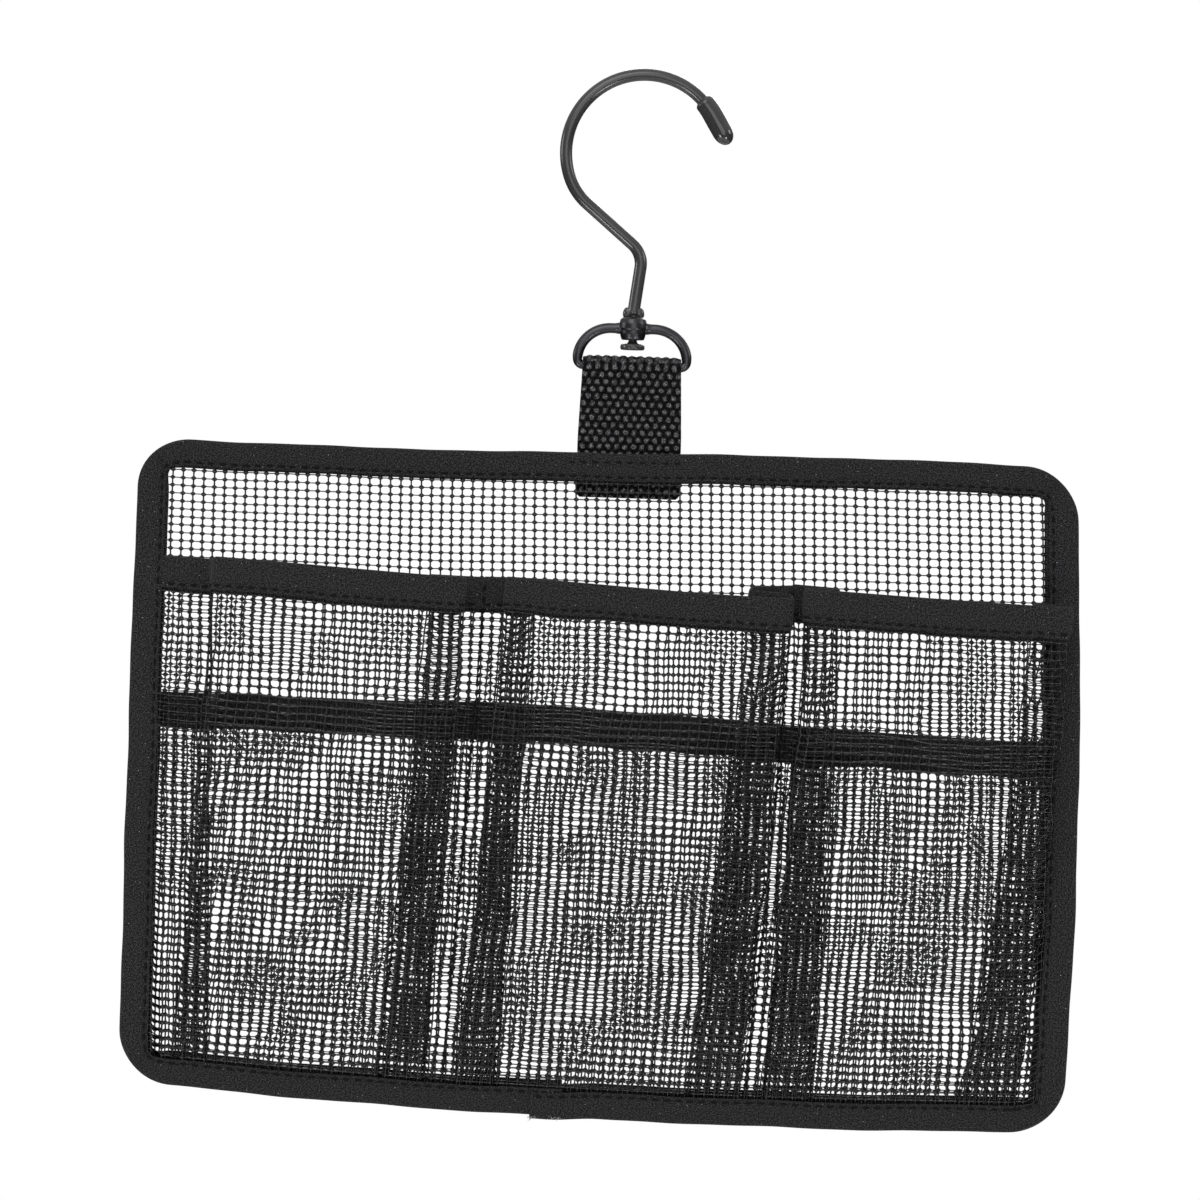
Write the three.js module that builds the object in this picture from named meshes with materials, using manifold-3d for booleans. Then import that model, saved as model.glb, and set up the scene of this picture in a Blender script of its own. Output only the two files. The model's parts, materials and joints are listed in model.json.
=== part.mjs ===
// A hanging mesh shower caddy: a bound net panel with three pleated pockets on each face, sewn to a
// webbing loop that hangs from a swivel D-ring and a bent wire hook.
// Millimetres, +Z up, the front face looks along -Y. The origin is the inner top of the hook, where
// the rail that carries the caddy sits.
import * as THREE from 'three';
import { mergeVertices } from 'three/addons/utils/BufferGeometryUtils.js';
import Module from 'manifold-3d';

const wasm = await Module();
wasm.setup();

const { degToRad, lerp, smoothstep } = THREE.MathUtils;

// Fits
const fitGap = 0.3; // between pieces that touch
const runningGap = 0.3; // round the shank in its boss and the bar in its loop
const cutOverrun = 1;
const weldTolerance = 0.0001;

// Hook: one bent wire, with ears pinched out above the swivel and a riveted head below it
const wireRadius = 1.9;
const hookInsideRadius = 22.2;
const backBendRadius = 18.5;
const diagonalLength = 18.7;
const elbowRadius = 8;
const stemLength = 13.4;
const kinkRadius = 5;
const tipLength = 7.8; // straight end of the wire, inside the cap
const tipAngle = degToRad(31);
const backAngle = degToRad(200);
const diagonalAngle = degToRad(-40);
const stemLean = degToRad(7);
const earRadius = 1.75;
const earSpread = 1.55;
const earThickness = 2.6;
const earHeight = 2.4;
const shankRadius = 1.3; // the wire is turned down below the ears, to run through the boss
const headRadius = 3.75;
const headHeight = 2.6;
const headPlay = 0.5; // end float of the shank in the boss
const headShares = [[0, 0], [0.35, 0], [0.42, 0.14], [0.56, 0.24], [0.9, 0.32], [1, 0.5], [1, 0.86],
  [0.93, 1], [0.6, 0.95], [0, 0.9]];

// Tip cap: a blind sleeve of soft vinyl
const capRadius = 3;
const capLength = 16;
const capEndWall = 2.2;
const capDome = 3;
const capLip = 0.5;

// Swivel D-ring: a round rod arch and bar with a barrel boss at the top
const ringInsideWidth = 30.8;
const ringRodRadius = 1.4;
const ringInnerCorner = 0.5;
const archRise = 9.7;
const armReach = 6.5; // how far the arms run straight out from the middle of the boss
const bossRadius = 4.3;
const bossHeight = 7;
const sinkRadius = 3.2;
const sinkDepth = 3;
const bossShares = [[0, 0.5], [0.64, 0.5], [0.88, 0.4], [1, 0.22], [1, -0.2], [0.95, -0.38],
  [0.84, -0.5], [0, -0.5]];

// Webbing loop
const webbingWidth = 32;
const webbingThickness = 1.5;
const webbingFlare = 6; // length over which the webbing opens out below the bar
const strapDrop = 26.8; // bar to the top edge of the panel
const strapOffset = 5.3; // the webbing is sewn this far right of the middle of the panel
const tailShow = 3.6; // webbing tail below the inner edge of the binding
const tailRadius = 3;
const tailShares = [0, 0.1, 0.35, 1]; // stations round each corner of a tail, as shares of that radius

// Panel: flat sewn size, and how far sewing has drawn its sides in
const panelWidth = 290.4;
const panelHeight = 204.3;
const panelCornerRadius = 16;
const innerCornerRadius = 2; // the open edges of the binding turn nearly square
const topDrawnShare = 0.992;
const leftDrawnShare = 0.968;
const rightBowShare = 0.011;
const leftBowShare = 0.0025;
const bottomBowShare = 0.0196;
const topWaveShare = 0.0037;
const topWavePower = 4; // how fast the wave of the top edge dies out below it

// Net and tape. The real net has holes of 2.4 by 2 mm; here each gap stands for many of them.
const netThickness = 0.6;
const strandWidth = 2;
const tapeLeaf = 0.45;
const bindingWidth = 9.6;
const hemHeight = 10.2;
const netColumns = 11;
const netRows = 7;

// Pockets: places across the panel are shares of its width, places down it shares of its height
const pocketDepth = 12; // stand-off of a pocket's front at its mouth
const pocketBow = 2.4;
const pleatDepth = 17;
const legGaps = [1, 1, 4, 1, 1];
const seamTopShares = [0.379, 0.705]; // where the seam lines would meet the top edge
const seamBottomShares = [0.34, 0.66];
const frontHemShares = [0.183, 0.192, 0.188, 0.206];
const backHemShares = [0.393, 0.382, 0.398, 0.417];
const frontRows = 5;
const backRows = 3;
const foldRoomShare = 1.25; // room a mitred fold of tape needs, for each tape thickness

// Folds of each pleat, as shares of the pleat depth, measured into the pocket from its seam
const pleatShares = [
  {
    left: { innerTop: 0.645, outerTop: 0.875, innerBottom: 0.98, outerBottom: 0.36 },
    right: { innerTop: 0.99, outerTop: 0.36, innerBottom: 1.22, outerBottom: 0.22 },
  },
  {
    left: { innerTop: 0.94, outerTop: 0.41, innerBottom: 1.01, outerBottom: 0.18 },
    right: { innerTop: 0.76, outerTop: 0.02, innerBottom: 1.12, outerBottom: 0.1 },
  },
  {
    left: { innerTop: 0.82, outerTop: 0.22, innerBottom: 1.27, outerBottom: 0.3 },
    right: { innerTop: 0.28, outerTop: -0.37, innerBottom: 1.41, outerBottom: 0.26 },
  },
];
// How far the mouth of each front pocket sags below its seams, as shares of the hem's height
const frontLipShares = [{ left: -0.16, right: 0.07 }, { left: -0.06, right: 0.44 },
  { left: 0.12, right: 0.08 }];
const backLipShares = [{ left: 0, right: 0.05 }, { left: -0.05, right: 0 }, { left: 0.05, right: 0 }];

// Facets
const wireSides = 12;
const hookSteps = 72;
const ringSteps = 56;
const roundSides = 20;
const capSides = 14;
const cornerSteps = 6;
const sideSteps = 7;
const bendSteps = 5;

// Sizes that follow from those above
const tapeHalf = netThickness / 2 + fitGap + tapeLeaf;
const slotHalf = netThickness / 2 + fitGap;
const hookRadius = hookInsideRadius + wireRadius;
const ringHalf = ringInsideWidth / 2 + ringRodRadius;
const ringCorner = ringInnerCorner + ringRodRadius;
const barDrop = archRise + ringCorner;
const barHalf = ringHalf - ringCorner;
const loopRadius = ringRodRadius + runningGap + webbingThickness / 2;
const layerPitch = netThickness + fitGap;

// A closed surface with its shared points merged
function welded(geometry) {
  geometry.deleteAttribute('normal');
  geometry.deleteAttribute('uv');
  return mergeVertices(geometry, weldTolerance);
}

function solid(geometry) {
  const bare = welded(geometry);
  return new wasm.Manifold(new wasm.Mesh({
    numProp: 3,
    vertProperties: new Float32Array(bare.attributes.position.array),
    triVerts: new Uint32Array(bare.index.array),
  }));
}

function surface(positions, index) {
  const geometry = new THREE.BufferGeometry();
  geometry.setAttribute('position', new THREE.BufferAttribute(new Float32Array(positions), 3));
  geometry.setIndex(new THREE.BufferAttribute(new Uint32Array(index), 1));
  geometry.computeVertexNormals();
  return geometry;
}

function surfaceOf(manifold) {
  const { vertProperties, triVerts } = manifold.getMesh();
  return surface(vertProperties, triVerts);
}

// The same closed surface with its faces turned to point out
function facingOut(positions, index) {
  const corner = (k) => new THREE.Vector3().fromArray(positions, 3 * index[k]);
  let volume = 0;
  for (let k = 0; k < index.length; k += 3) {
    volume += corner(k).dot(corner(k + 1).cross(corner(k + 2)));
  }
  const faces = volume < 0 ? index.toReversed() : index;
  return surface(positions, faces);
}

// Skins a row of rings with equal point counts. With a lid, the row is open and the lid's triangles
// close both ends; without one, the last ring joins the first.
function loft(rings, lid) {
  const size = rings[0].length;
  const positions = rings.flat().flatMap((point) => point.toArray());
  const index = [];
  const spans = lid ? rings.length - 1 : rings.length;
  for (let ring = 0; ring < spans; ring += 1) {
    const here = ring * size;
    const next = ((ring + 1) % rings.length) * size;
    for (let k = 0; k < size; k += 1) {
      const step = (k + 1) % size;
      index.push(here + k, next + k, next + step, here + k, next + step, here + step);
    }
  }
  const last = (rings.length - 1) * size;
  for (const [a, b, c] of lid ?? []) {
    index.push(a, b, c, last + c, last + b, last + a);
  }
  return facingOut(positions, index);
}

// Triangles that close a flat outline, turned to suit the first ring of a loft
function lidOf(outline) {
  const points = outline.map(([x, y]) => new THREE.Vector2(x, y));
  const triangles = THREE.ShapeUtils.triangulateShape(points, []);
  const turned = THREE.ShapeUtils.isClockWise(points);
  return turned ? triangles.map((triangle) => triangle.toReversed()) : triangles;
}

function circle(radius, sides) {
  const points = [];
  for (let k = 0; k < sides; k += 1) {
    const angle = (2 * Math.PI * k) / sides;
    points.push(new THREE.Vector2(radius * Math.cos(angle), radius * Math.sin(angle)));
  }
  return new THREE.Shape(points);
}

// A turned solid about Z, from shares of a radius and a height
function turned(shares, radius, height, sides) {
  const profile = shares.map(([r, z]) => new THREE.Vector2(r * radius, z * height));
  const lathe = welded(new THREE.LatheGeometry(profile, sides).rotateX(Math.PI / 2));
  return facingOut(lathe.attributes.position.array, Array.from(lathe.index.array));
}

// A path in the XZ plane, drawn as it would be bent: each step runs straight or turns at a radius
function bentPath(start, heading, steps) {
  const path = new THREE.Path();
  path.moveTo(start.x, start.y);
  const at = start.clone();
  let angle = heading;
  for (const { length, radius, turn } of steps) {
    if (turn) {
      const side = Math.sign(turn);
      const from = angle - (side * Math.PI) / 2;
      const centre = at.clone();
      centre.x -= radius * Math.cos(from);
      centre.y -= radius * Math.sin(from);
      path.absarc(centre.x, centre.y, radius, from, from + turn, turn < 0);
      at.x = centre.x + radius * Math.cos(from + turn);
      at.y = centre.y + radius * Math.sin(from + turn);
      angle += turn;
    } else {
      at.x += length * Math.cos(angle);
      at.y += length * Math.sin(angle);
      path.lineTo(at.x, at.y);
    }
  }
  return { path, end: at };
}

// A flat path stood up in the XZ plane
class UprightCurve extends THREE.Curve {
  constructor(path) {
    super();
    this.path = path;
  }

  getPoint(t, target = new THREE.Vector3()) {
    const point = this.path.getPoint(t);
    return target.set(point.x, 0, point.y);
  }
}

function rodAlong(path, radius, steps) {
  const extrudePath = new UprightCurve(path);
  return new THREE.ExtrudeGeometry(circle(radius, wireSides), { steps, extrudePath });
}

// Hook

const tipHeading = tipAngle + Math.PI / 2;
const tipBend = new THREE.Vector2(hookRadius * Math.cos(tipAngle), hookRadius * Math.sin(tipAngle));
tipBend.y -= hookInsideRadius;

// A point on the straight end of the wire, at a distance beyond its first bend
function beyondTip(distance) {
  const x = tipBend.x - distance * Math.cos(tipHeading);
  const z = tipBend.y - distance * Math.sin(tipHeading);
  return new THREE.Vector2(x, z);
}

const hookBends = [
  { length: tipLength },
  { radius: hookRadius, turn: backAngle - tipAngle },
  { radius: backBendRadius, turn: diagonalAngle - backAngle + 1.5 * Math.PI },
  { length: diagonalLength },
  { radius: elbowRadius, turn: -Math.PI / 2 - stemLean - diagonalAngle },
  { length: stemLength },
  { radius: kinkRadius, turn: stemLean },
];
const kink = bentPath(beyondTip(tipLength), tipHeading, hookBends).end;
const bossCentre = kink.y - earHeight / 2 - runningGap - bossHeight / 2;
const headTop = bossCentre - bossHeight / 2 - headPlay;

// A ball squashed to its three sizes, on the axis of the swivel or beside it, level with the kink
function lump(width, thickness, sideways) {
  const ball = new THREE.SphereGeometry(1, roundSides, wireSides);
  ball.scale(width / 2, thickness / 2, earHeight / 2);
  return solid(ball.translate(kink.x + sideways, 0, kink.y));
}

function hookWire() {
  const { path } = bentPath(beyondTip(tipLength), tipHeading, hookBends);
  let body = solid(rodAlong(path, wireRadius, hookSteps));
  body = body.add(lump(2 * wireRadius, 2 * wireRadius, 0));
  for (const side of [-1, 1]) {
    body = body.add(lump(2 * earRadius, earThickness, side * earSpread));
  }
  const shankEnd = headTop - headHeight / 2;
  const shankLength = kink.y - shankEnd;
  const shank = new THREE.CylinderGeometry(shankRadius, shankRadius, shankLength, roundSides);
  shank.rotateX(Math.PI / 2).translate(kink.x, 0, shankEnd + shankLength / 2);
  const head = turned(headShares, headRadius, -headHeight, roundSides);
  head.translate(kink.x, 0, headTop);
  return surfaceOf(body.add(solid(shank)).add(solid(head)));
}

// The cap is turned straight, then bent to follow the wire that it sits on
function hookTipCap() {
  const straight = tipLength + fitGap + capEndWall;
  const bend = { radius: hookRadius, turn: (capLength - straight) / hookRadius };
  const { path } = bentPath(beyondTip(straight), tipHeading, [{ length: straight }, bend]);
  const bore = wireRadius + fitGap;
  const profile = [];
  for (let k = 0; k <= bendSteps; k += 1) {
    const angle = (k / bendSteps) * (Math.PI / 2);
    profile.push([capRadius * Math.sin(angle), capDome * (1 - Math.cos(angle))]);
  }
  const mouth = capLength - capLip;
  for (let k = 0; k <= bendSteps; k += 1) {
    profile.push([capRadius, lerp(straight, mouth, k / bendSteps)]);
  }
  profile.push([capRadius - capLip / 2, capLength]);
  for (let k = 0; k <= bendSteps; k += 1) {
    profile.push([bore, lerp(capLength, straight, k / bendSteps)]);
  }
  profile.push([bore, capEndWall], [0, capEndWall]);

  const points = profile.map(([r, along]) => new THREE.Vector2(r, along));
  const cap = welded(new THREE.LatheGeometry(points, capSides));
  const curve = new UprightCurve(path);
  const place = cap.attributes.position;
  const bent = [];
  for (let k = 0; k < place.count; k += 1) {
    const share = Math.min(Math.max(place.getY(k) / capLength, 0), 1);
    const tangent = curve.getTangentAt(share);
    const sideways = new THREE.Vector3(-tangent.z, 0, tangent.x);
    const at = curve.getPointAt(share).addScaledVector(sideways, place.getX(k));
    at.y += place.getZ(k);
    bent.push(...at.toArray());
  }
  return facingOut(bent, Array.from(cap.index.array));
}

// Swivel D-ring, about the middle of its boss

function dRing() {
  // The rod starts and ends inside the wall of the boss
  const bore = shankRadius + runningGap;
  const rodEnd = (bore + bossRadius) / 2;
  const shoulder = ringHalf - armReach;
  const path = new THREE.Path();
  const top = Math.PI / 2;
  path.moveTo(-rodEnd, 0);
  path.absellipse(-armReach, -archRise, shoulder, archRise, top, Math.PI, false);
  path.absarc(-barHalf, -archRise, ringCorner, Math.PI, 3 * top, false);
  path.absarc(barHalf, -archRise, ringCorner, 3 * top, 4 * top, false);
  path.absellipse(armReach, -archRise, shoulder, archRise, 0, top, false);
  path.lineTo(rodEnd, 0);
  const rod = solid(rodAlong(path, ringRodRadius, ringSteps));
  const boss = solid(turned(bossShares, bossRadius, bossHeight, roundSides));

  const boreLength = bossHeight + 2 * cutOverrun;
  const hole = new THREE.CylinderGeometry(bore, bore, boreLength, roundSides).rotateX(Math.PI / 2);
  // The countersink runs on past the rim at its own slope
  const slope = (sinkRadius - bore) / sinkDepth;
  const sinkLength = sinkDepth + cutOverrun;
  const sinkWide = sinkRadius + slope * cutOverrun;
  const sink = new THREE.CylinderGeometry(bore, sinkWide, sinkLength, roundSides).rotateX(Math.PI / 2);
  sink.translate(0, 0, sinkLength / 2 - bossHeight / 2 - cutOverrun);
  return surfaceOf(boss.add(rod).subtract(solid(hole)).subtract(solid(sink)));
}

// Webbing loop, about the middle of the D-ring's bar

const frontLeg = tapeHalf + fitGap + webbingThickness / 2;
const backLeg = frontLeg + webbingThickness + fitGap;
const webbingTail = -strapDrop - bindingWidth - tailShow;

function webbingHalf(z) {
  const opened = smoothstep(-z, 0, webbingFlare);
  const rounded = Math.max(tailRadius - (z - webbingTail), 0);
  const corner = tailRadius - Math.sqrt(tailRadius ** 2 - Math.min(rounded, tailRadius) ** 2);
  return lerp(barHalf, webbingWidth / 2, opened) - corner;
}

function webbingLoop() {
  // Side view, Y across and Z up: behind the binding, over the bar and back
  const path = new THREE.Path();
  const legTop = -strapDrop + webbingThickness;
  const ease = strapDrop / 3;
  const tails = tailShares.map((share) => webbingTail + share * tailRadius);
  path.moveTo(frontLeg, webbingTail);
  tails.slice(1).forEach((z) => path.lineTo(frontLeg, z));
  path.lineTo(frontLeg, legTop);
  path.bezierCurveTo(frontLeg, legTop + ease, -loopRadius, -ease, -loopRadius, 0);
  path.absarc(0, 0, loopRadius, Math.PI, 0, true);
  path.bezierCurveTo(loopRadius, -ease, backLeg, legTop + ease, backLeg, legTop);
  tails.toReversed().forEach((z) => path.lineTo(backLeg, z));
  const points = path.getPoints(bendSteps);
  const rings = points.map((point, k) => {
    const before = points[Math.max(k - 1, 0)];
    const after = points[Math.min(k + 1, points.length - 1)];
    const along = after.clone().sub(before).normalize();
    const half = webbingHalf(point.y);
    const y = (-along.y * webbingThickness) / 2;
    const z = (along.x * webbingThickness) / 2;
    return [
      new THREE.Vector3(-half, point.x + y, point.y + z),
      new THREE.Vector3(half, point.x + y, point.y + z),
      new THREE.Vector3(half, point.x - y, point.y - z),
      new THREE.Vector3(-half, point.x - y, point.y - z),
    ];
  });
  return loft(rings, [[0, 1, 2], [0, 2, 3]]);
}

// Panel, in the frame of the bar: x runs right from its left edge, down runs from its top edge

const panelLeft = -panelWidth / 2 - strapOffset;
const innerBottom = panelHeight - bindingWidth;

// The place of a point of the flat panel after sewing has drawn its sides in
function drawn(x, down, y) {
  const u = x / panelWidth;
  const v = down / panelHeight;
  const across = 4 * u * (1 - u);
  const bow = 4 * v * (1 - v);
  const leftBow = leftBowShare * bow * (1 - u);
  const widthShare = u * (lerp(topDrawnShare, 1, v) + rightBowShare * bow) - leftBow;
  const topWave = topWaveShare * Math.sin(2 * Math.PI * u) * (1 - v) ** topWavePower;
  const heightShare = v * (lerp(leftDrawnShare, 1, u) + bottomBowShare * across) + topWave;
  const z = -strapDrop - panelHeight * heightShare;
  return new THREE.Vector3(panelLeft + panelWidth * widthShare, y, z);
}

// How far in from the fold the open edges of the binding lie, at an angle round a corner
function cornerInset(angle) {
  const half = panelCornerRadius - bindingWidth;
  const flat = half - innerCornerRadius;
  const toSide = Math.min(angle, Math.PI / 2 - angle);
  const [run, rise] = [Math.cos(toSide), Math.sin(toSide)];
  if (half * rise <= flat * run) return panelCornerRadius - half / run;
  const spare = innerCornerRadius ** 2 - flat ** 2 * (1 - 2 * run * rise);
  return panelCornerRadius - flat * (run + rise) - Math.sqrt(spare);
}

// Points round the flat panel's rounded edge, each with the direction that leads into the panel and
// the distance to the open edge of the binding
function panelEdge() {
  const r = panelCornerRadius;
  const corners = [
    [panelWidth - r, r, -Math.PI / 2],
    [panelWidth - r, panelHeight - r, 0],
    [r, panelHeight - r, Math.PI / 2],
    [r, r, Math.PI],
  ];
  const edge = [];
  corners.forEach(([x, down, from], k) => {
    for (let step = 0; step <= cornerSteps; step += 1) {
      const angle = ((step / cornerSteps) * Math.PI) / 2;
      const inward = { x: -Math.cos(from + angle), down: -Math.sin(from + angle) };
      const open = cornerInset(angle);
      edge.push({ x: x - r * inward.x, down: down - r * inward.down, inward, open });
    }
    const last = edge.at(-1);
    const [nextX, nextDown] = corners[(k + 1) % corners.length];
    const far = { x: nextX - r * last.inward.x, down: nextDown - r * last.inward.down };
    for (let step = 1; step < sideSteps; step += 1) {
      const share = step / sideSteps;
      const x0 = lerp(last.x, far.x, share);
      const down0 = lerp(last.down, far.down, share);
      edge.push({ x: x0, down: down0, inward: last.inward, open: bindingWidth });
    }
  });
  return edge;
}

function insetPoint({ x, down, inward }, inset, y) {
  return drawn(x + inset * inward.x, down + inset * inward.down, y);
}

// Tape folded over an edge of net. Each station has the middle of the fold, the middle between the
// open edges, and the direction across the tape at both.
const tapeSection = [
  ['open', tapeHalf], ['fold', tapeHalf], ['fold', -tapeHalf], ['open', -tapeHalf],
  ['open', -slotHalf], ['slot', -slotHalf], ['slot', slotHalf], ['open', slotHalf],
];
const alongTape = { fold: 0, slot: tapeLeaf, open: hemHeight };
const tapeLid = lidOf(tapeSection.map(([place, across]) => [alongTape[place], across]));

function foldedTape(stations, lid) {
  const rings = stations.map(({ fold, foldOut, open, openOut }) => {
    const slot = open.clone().sub(fold).setLength(tapeLeaf).add(fold);
    const places = { fold: [fold, foldOut], slot: [slot, foldOut], open: [open, openOut] };
    return tapeSection.map(([place, across]) => {
      const [point, out] = places[place];
      return point.clone().addScaledVector(out, across);
    });
  });
  return loft(rings, lid);
}

function edgeBinding() {
  const out = new THREE.Vector3(0, -1, 0);
  return foldedTape(panelEdge().map((point) => ({
    fold: insetPoint(point, 0, 0),
    foldOut: out,
    open: insetPoint(point, point.open, 0),
    openOut: out,
  })));
}

// Both edges of each gap between start and end, with strands between the gaps
function gapEdges(start, end, gaps, strand) {
  const pitch = (end - start + strand) / gaps;
  const edges = [];
  for (let k = 0; k < gaps; k += 1) {
    edges.push(start + k * pitch, start + (k + 1) * pitch - strand);
  }
  return edges;
}

// Solid and open strips by turns, starting and ending with a solid one
function gapFlags(gaps) {
  return Array.from({ length: 2 * gaps + 1 }, (_, k) => k % 2 === 1);
}

// Cloth over a grid: grid[i][j] has the middle point and the direction across the cloth. A cell is
// open where a gap column meets a gap row.
function perforatedCloth(grid, gapColumn, gapRow) {
  const rows = grid[0].length;
  const positions = [];
  for (const { at, out } of grid.flat()) {
    const outer = at.clone().addScaledVector(out, netThickness / 2);
    const inner = at.clone().addScaledVector(out, -netThickness / 2);
    positions.push(...outer.toArray(), ...inner.toArray());
  }
  const cloth = (i, j) => {
    const inside = i >= 0 && j >= 0 && i < grid.length - 1 && j < rows - 1;
    return inside && !(gapColumn[i] && gapRow[j]);
  };
  const outer = (i, j) => 2 * (i * rows + j);
  const index = [];
  const quad = (a, b, c, d) => index.push(a, b, c, a, c, d);
  const wall = (a, b) => quad(a, b, b + 1, a + 1);
  for (let i = 0; i < grid.length - 1; i += 1) {
    for (let j = 0; j < rows - 1; j += 1) {
      if (cloth(i, j)) {
        const [a, b] = [outer(i, j), outer(i + 1, j)];
        const [c, d] = [outer(i + 1, j + 1), outer(i, j + 1)];
        quad(a, b, c, d);
        quad(d + 1, c + 1, b + 1, a + 1);
        if (!cloth(i, j - 1)) wall(b, a);
        if (!cloth(i + 1, j)) wall(c, b);
        if (!cloth(i, j + 1)) wall(d, c);
        if (!cloth(i - 1, j)) wall(a, d);
      }
    }
  }
  return facingOut(positions, index);
}

function backNet() {
  const right = panelWidth - bindingWidth;
  const columns = [0, ...gapEdges(bindingWidth, right, netColumns, strandWidth), panelWidth];
  const rows = [0, ...gapEdges(bindingWidth, innerBottom, netRows, strandWidth), panelHeight];
  const out = new THREE.Vector3(0, -1, 0);
  const grid = columns.map((x) => rows.map((down) => ({ at: drawn(x, down, 0), out })));
  const net = solid(perforatedCloth(grid, gapFlags(netColumns), gapFlags(netRows)));

  // Trimmed to the fold of the binding
  const inset = tapeLeaf + fitGap;
  const cut = panelEdge().map((point) => insetPoint(point, inset, 0));
  const outline = new THREE.Shape(cut.map(({ x, z }) => new THREE.Vector2(x, z)));
  const depth = netThickness + 2 * cutOverrun;
  const blank = new THREE.ExtrudeGeometry(outline, { depth, bevelEnabled: false });
  blank.rotateX(Math.PI / 2).translate(0, depth / 2, 0);
  return surfaceOf(net.intersect(solid(blank)));
}

// Pockets. Seen from above, a pocket strip runs from its seam in to a fold, back out to a second
// fold, across the front, and the same way back to the next seam.

function seamAt(k, down) {
  if (k === 0) return bindingWidth;
  if (k > seamTopShares.length) return panelWidth - bindingWidth;
  return panelWidth * lerp(seamTopShares[k - 1], seamBottomShares[k - 1], down / panelHeight);
}

// How far down a pocket may reach at x, inside the binding's rounded lower corners
function footAt(x) {
  const radius = innerCornerRadius - fitGap;
  const side = bindingWidth + fitGap;
  const into = Math.max(radius - Math.min(x - side, panelWidth - side - x), 0);
  const lift = radius - Math.sqrt(Math.max(radius ** 2 - into ** 2, 0));
  return innerBottom - fitGap - lift;
}

// The strip's five legs at a share of the way down pocket k, as pairs of flat points whose y is the
// stand-off from the middle of the back net. The mouths are how far down its two top corners lie.
function pocketLegs(k, mouths, share) {
  const { left, right } = pleatShares[k];
  const [leftDown, rightDown] = mouths.map((mouth) => lerp(mouth, innerBottom, share));
  const seamStand = lerp(slotHalf + tapeHalf, layerPitch, share);
  const wall = lerp(2 * foldRoomShare * tapeHalf + 2 * fitGap, layerPitch, share);
  const frontStand = lerp(pocketDepth, 3 * layerPitch, share);
  const slant = (frontStand - seamStand - 2 * wall) / 2;
  const side = (seam, direction, folds) => {
    const inner = lerp(folds.innerTop, folds.innerBottom, share) * pleatDepth;
    const outer = lerp(folds.outerTop, folds.outerBottom, share) * pleatDepth;
    return [
      new THREE.Vector2(seam, seamStand),
      new THREE.Vector2(seam + direction * inner, seamStand + slant),
      new THREE.Vector2(seam + direction * inner, seamStand + slant + wall),
      new THREE.Vector2(seam + direction * outer, frontStand - wall),
      new THREE.Vector2(seam + direction * outer, frontStand),
    ];
  };
  const [a, b, c, d, e] = side(seamAt(k, leftDown) + fitGap, 1, left);
  const [v, w, x, y, z] = side(seamAt(k + 1, rightDown) - fitGap, -1, right);
  return [[a, b], [c, d], [e, z], [y, x], [w, v]];
}

// Flat points along the strip at the edges of its gaps; the front leg bows out between its folds
function pocketLine(k, mouths, share) {
  return pocketLegs(k, mouths, share).flatMap(([start, end], leg) => {
    const length = start.distanceTo(end);
    const gaps = legGaps[leg];
    const strand = Math.min(strandWidth, length / (2 * gaps + 2));
    const places = [0, ...gapEdges(strand, length - strand, gaps, strand), length];
    return places.map((place) => {
      const point = start.clone().lerp(end, place / length);
      const bow = leg === 2 ? pocketBow * (1 - share) : 0;
      point.y += (4 * bow * place * (length - place)) / length ** 2;
      return point;
    });
  });
}

const pocketColumns = legGaps.flatMap((gaps) => [...gapFlags(gaps), false]).slice(0, -1);

// The direction across the cloth at each point of a line, lengthened at folds as a mitre
function mitres(line) {
  const normalTo = (from, to) => new THREE.Vector2(to.y - from.y, from.x - to.x).normalize();
  return line.map((point, k) => {
    const before = k > 0 ? normalTo(line[k - 1], point) : normalTo(point, line[k + 1]);
    const after = k < line.length - 1 ? normalTo(point, line[k + 1]) : before;
    const scale = 1 / (1 + before.dot(after));
    return before.clone().add(after).multiplyScalar(scale);
  });
}

// Pocket k on the front (side -1) or the back (side 1) of the panel
class Pocket {
  constructor(k, side, hemShares, lips, rows) {
    this.k = k;
    this.side = side;
    this.lips = lips[k];
    this.rows = rows;
    this.mouths = [hemShares[k] * panelHeight, hemShares[k + 1] * panelHeight];
    this.height = innerBottom - fitGap - (this.mouths[0] + this.mouths[1]) / 2;
    this.feet = pocketLine(k, this.mouths, 1).map(({ x }) => footAt(x));
  }

  // Middle points and directions across the cloth, at a share of the way down
  section(share) {
    const line = pocketLine(this.k, this.mouths, share);
    const across = mitres(line);
    const seams = [line[0].x, line.at(-1).x];
    return line.map((point, i) => {
      const along = THREE.MathUtils.clamp((point.x - seams[0]) / (seams[1] - seams[0]), 0, 1);
      const lip = lerp(this.lips.left, this.lips.right, along) * hemHeight;
      const mouth = lerp(...this.mouths, along) + (lip * point.y) / pocketDepth;
      const down = lerp(mouth, this.feet[i], share);
      const at = drawn(point.x, down, this.side * point.y);
      const out = new THREE.Vector3(-across[i].x, -this.side * across[i].y, 0);
      return { at, out };
    });
  }

  net() {
    const start = (tapeLeaf + fitGap) / this.height;
    const strand = strandWidth / this.height;
    const gaps = gapEdges(hemHeight / this.height, 1 - strand, this.rows, strand);
    const sections = [start, ...gaps, 1].map((share) => this.section(share));
    const grid = sections[0].map((_, i) => sections.map((section) => section[i]));
    return perforatedCloth(grid, pocketColumns, gapFlags(this.rows));
  }

  hem() {
    const folds = this.section(0);
    const opens = this.section(hemHeight / this.height);
    const stations = folds.map(({ at, out }, i) => ({
      fold: at,
      foldOut: out,
      open: opens[i].at,
      openOut: opens[i].out,
    }));
    return foldedTape(stations, tapeLid);
  }
}

// Finishes

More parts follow.
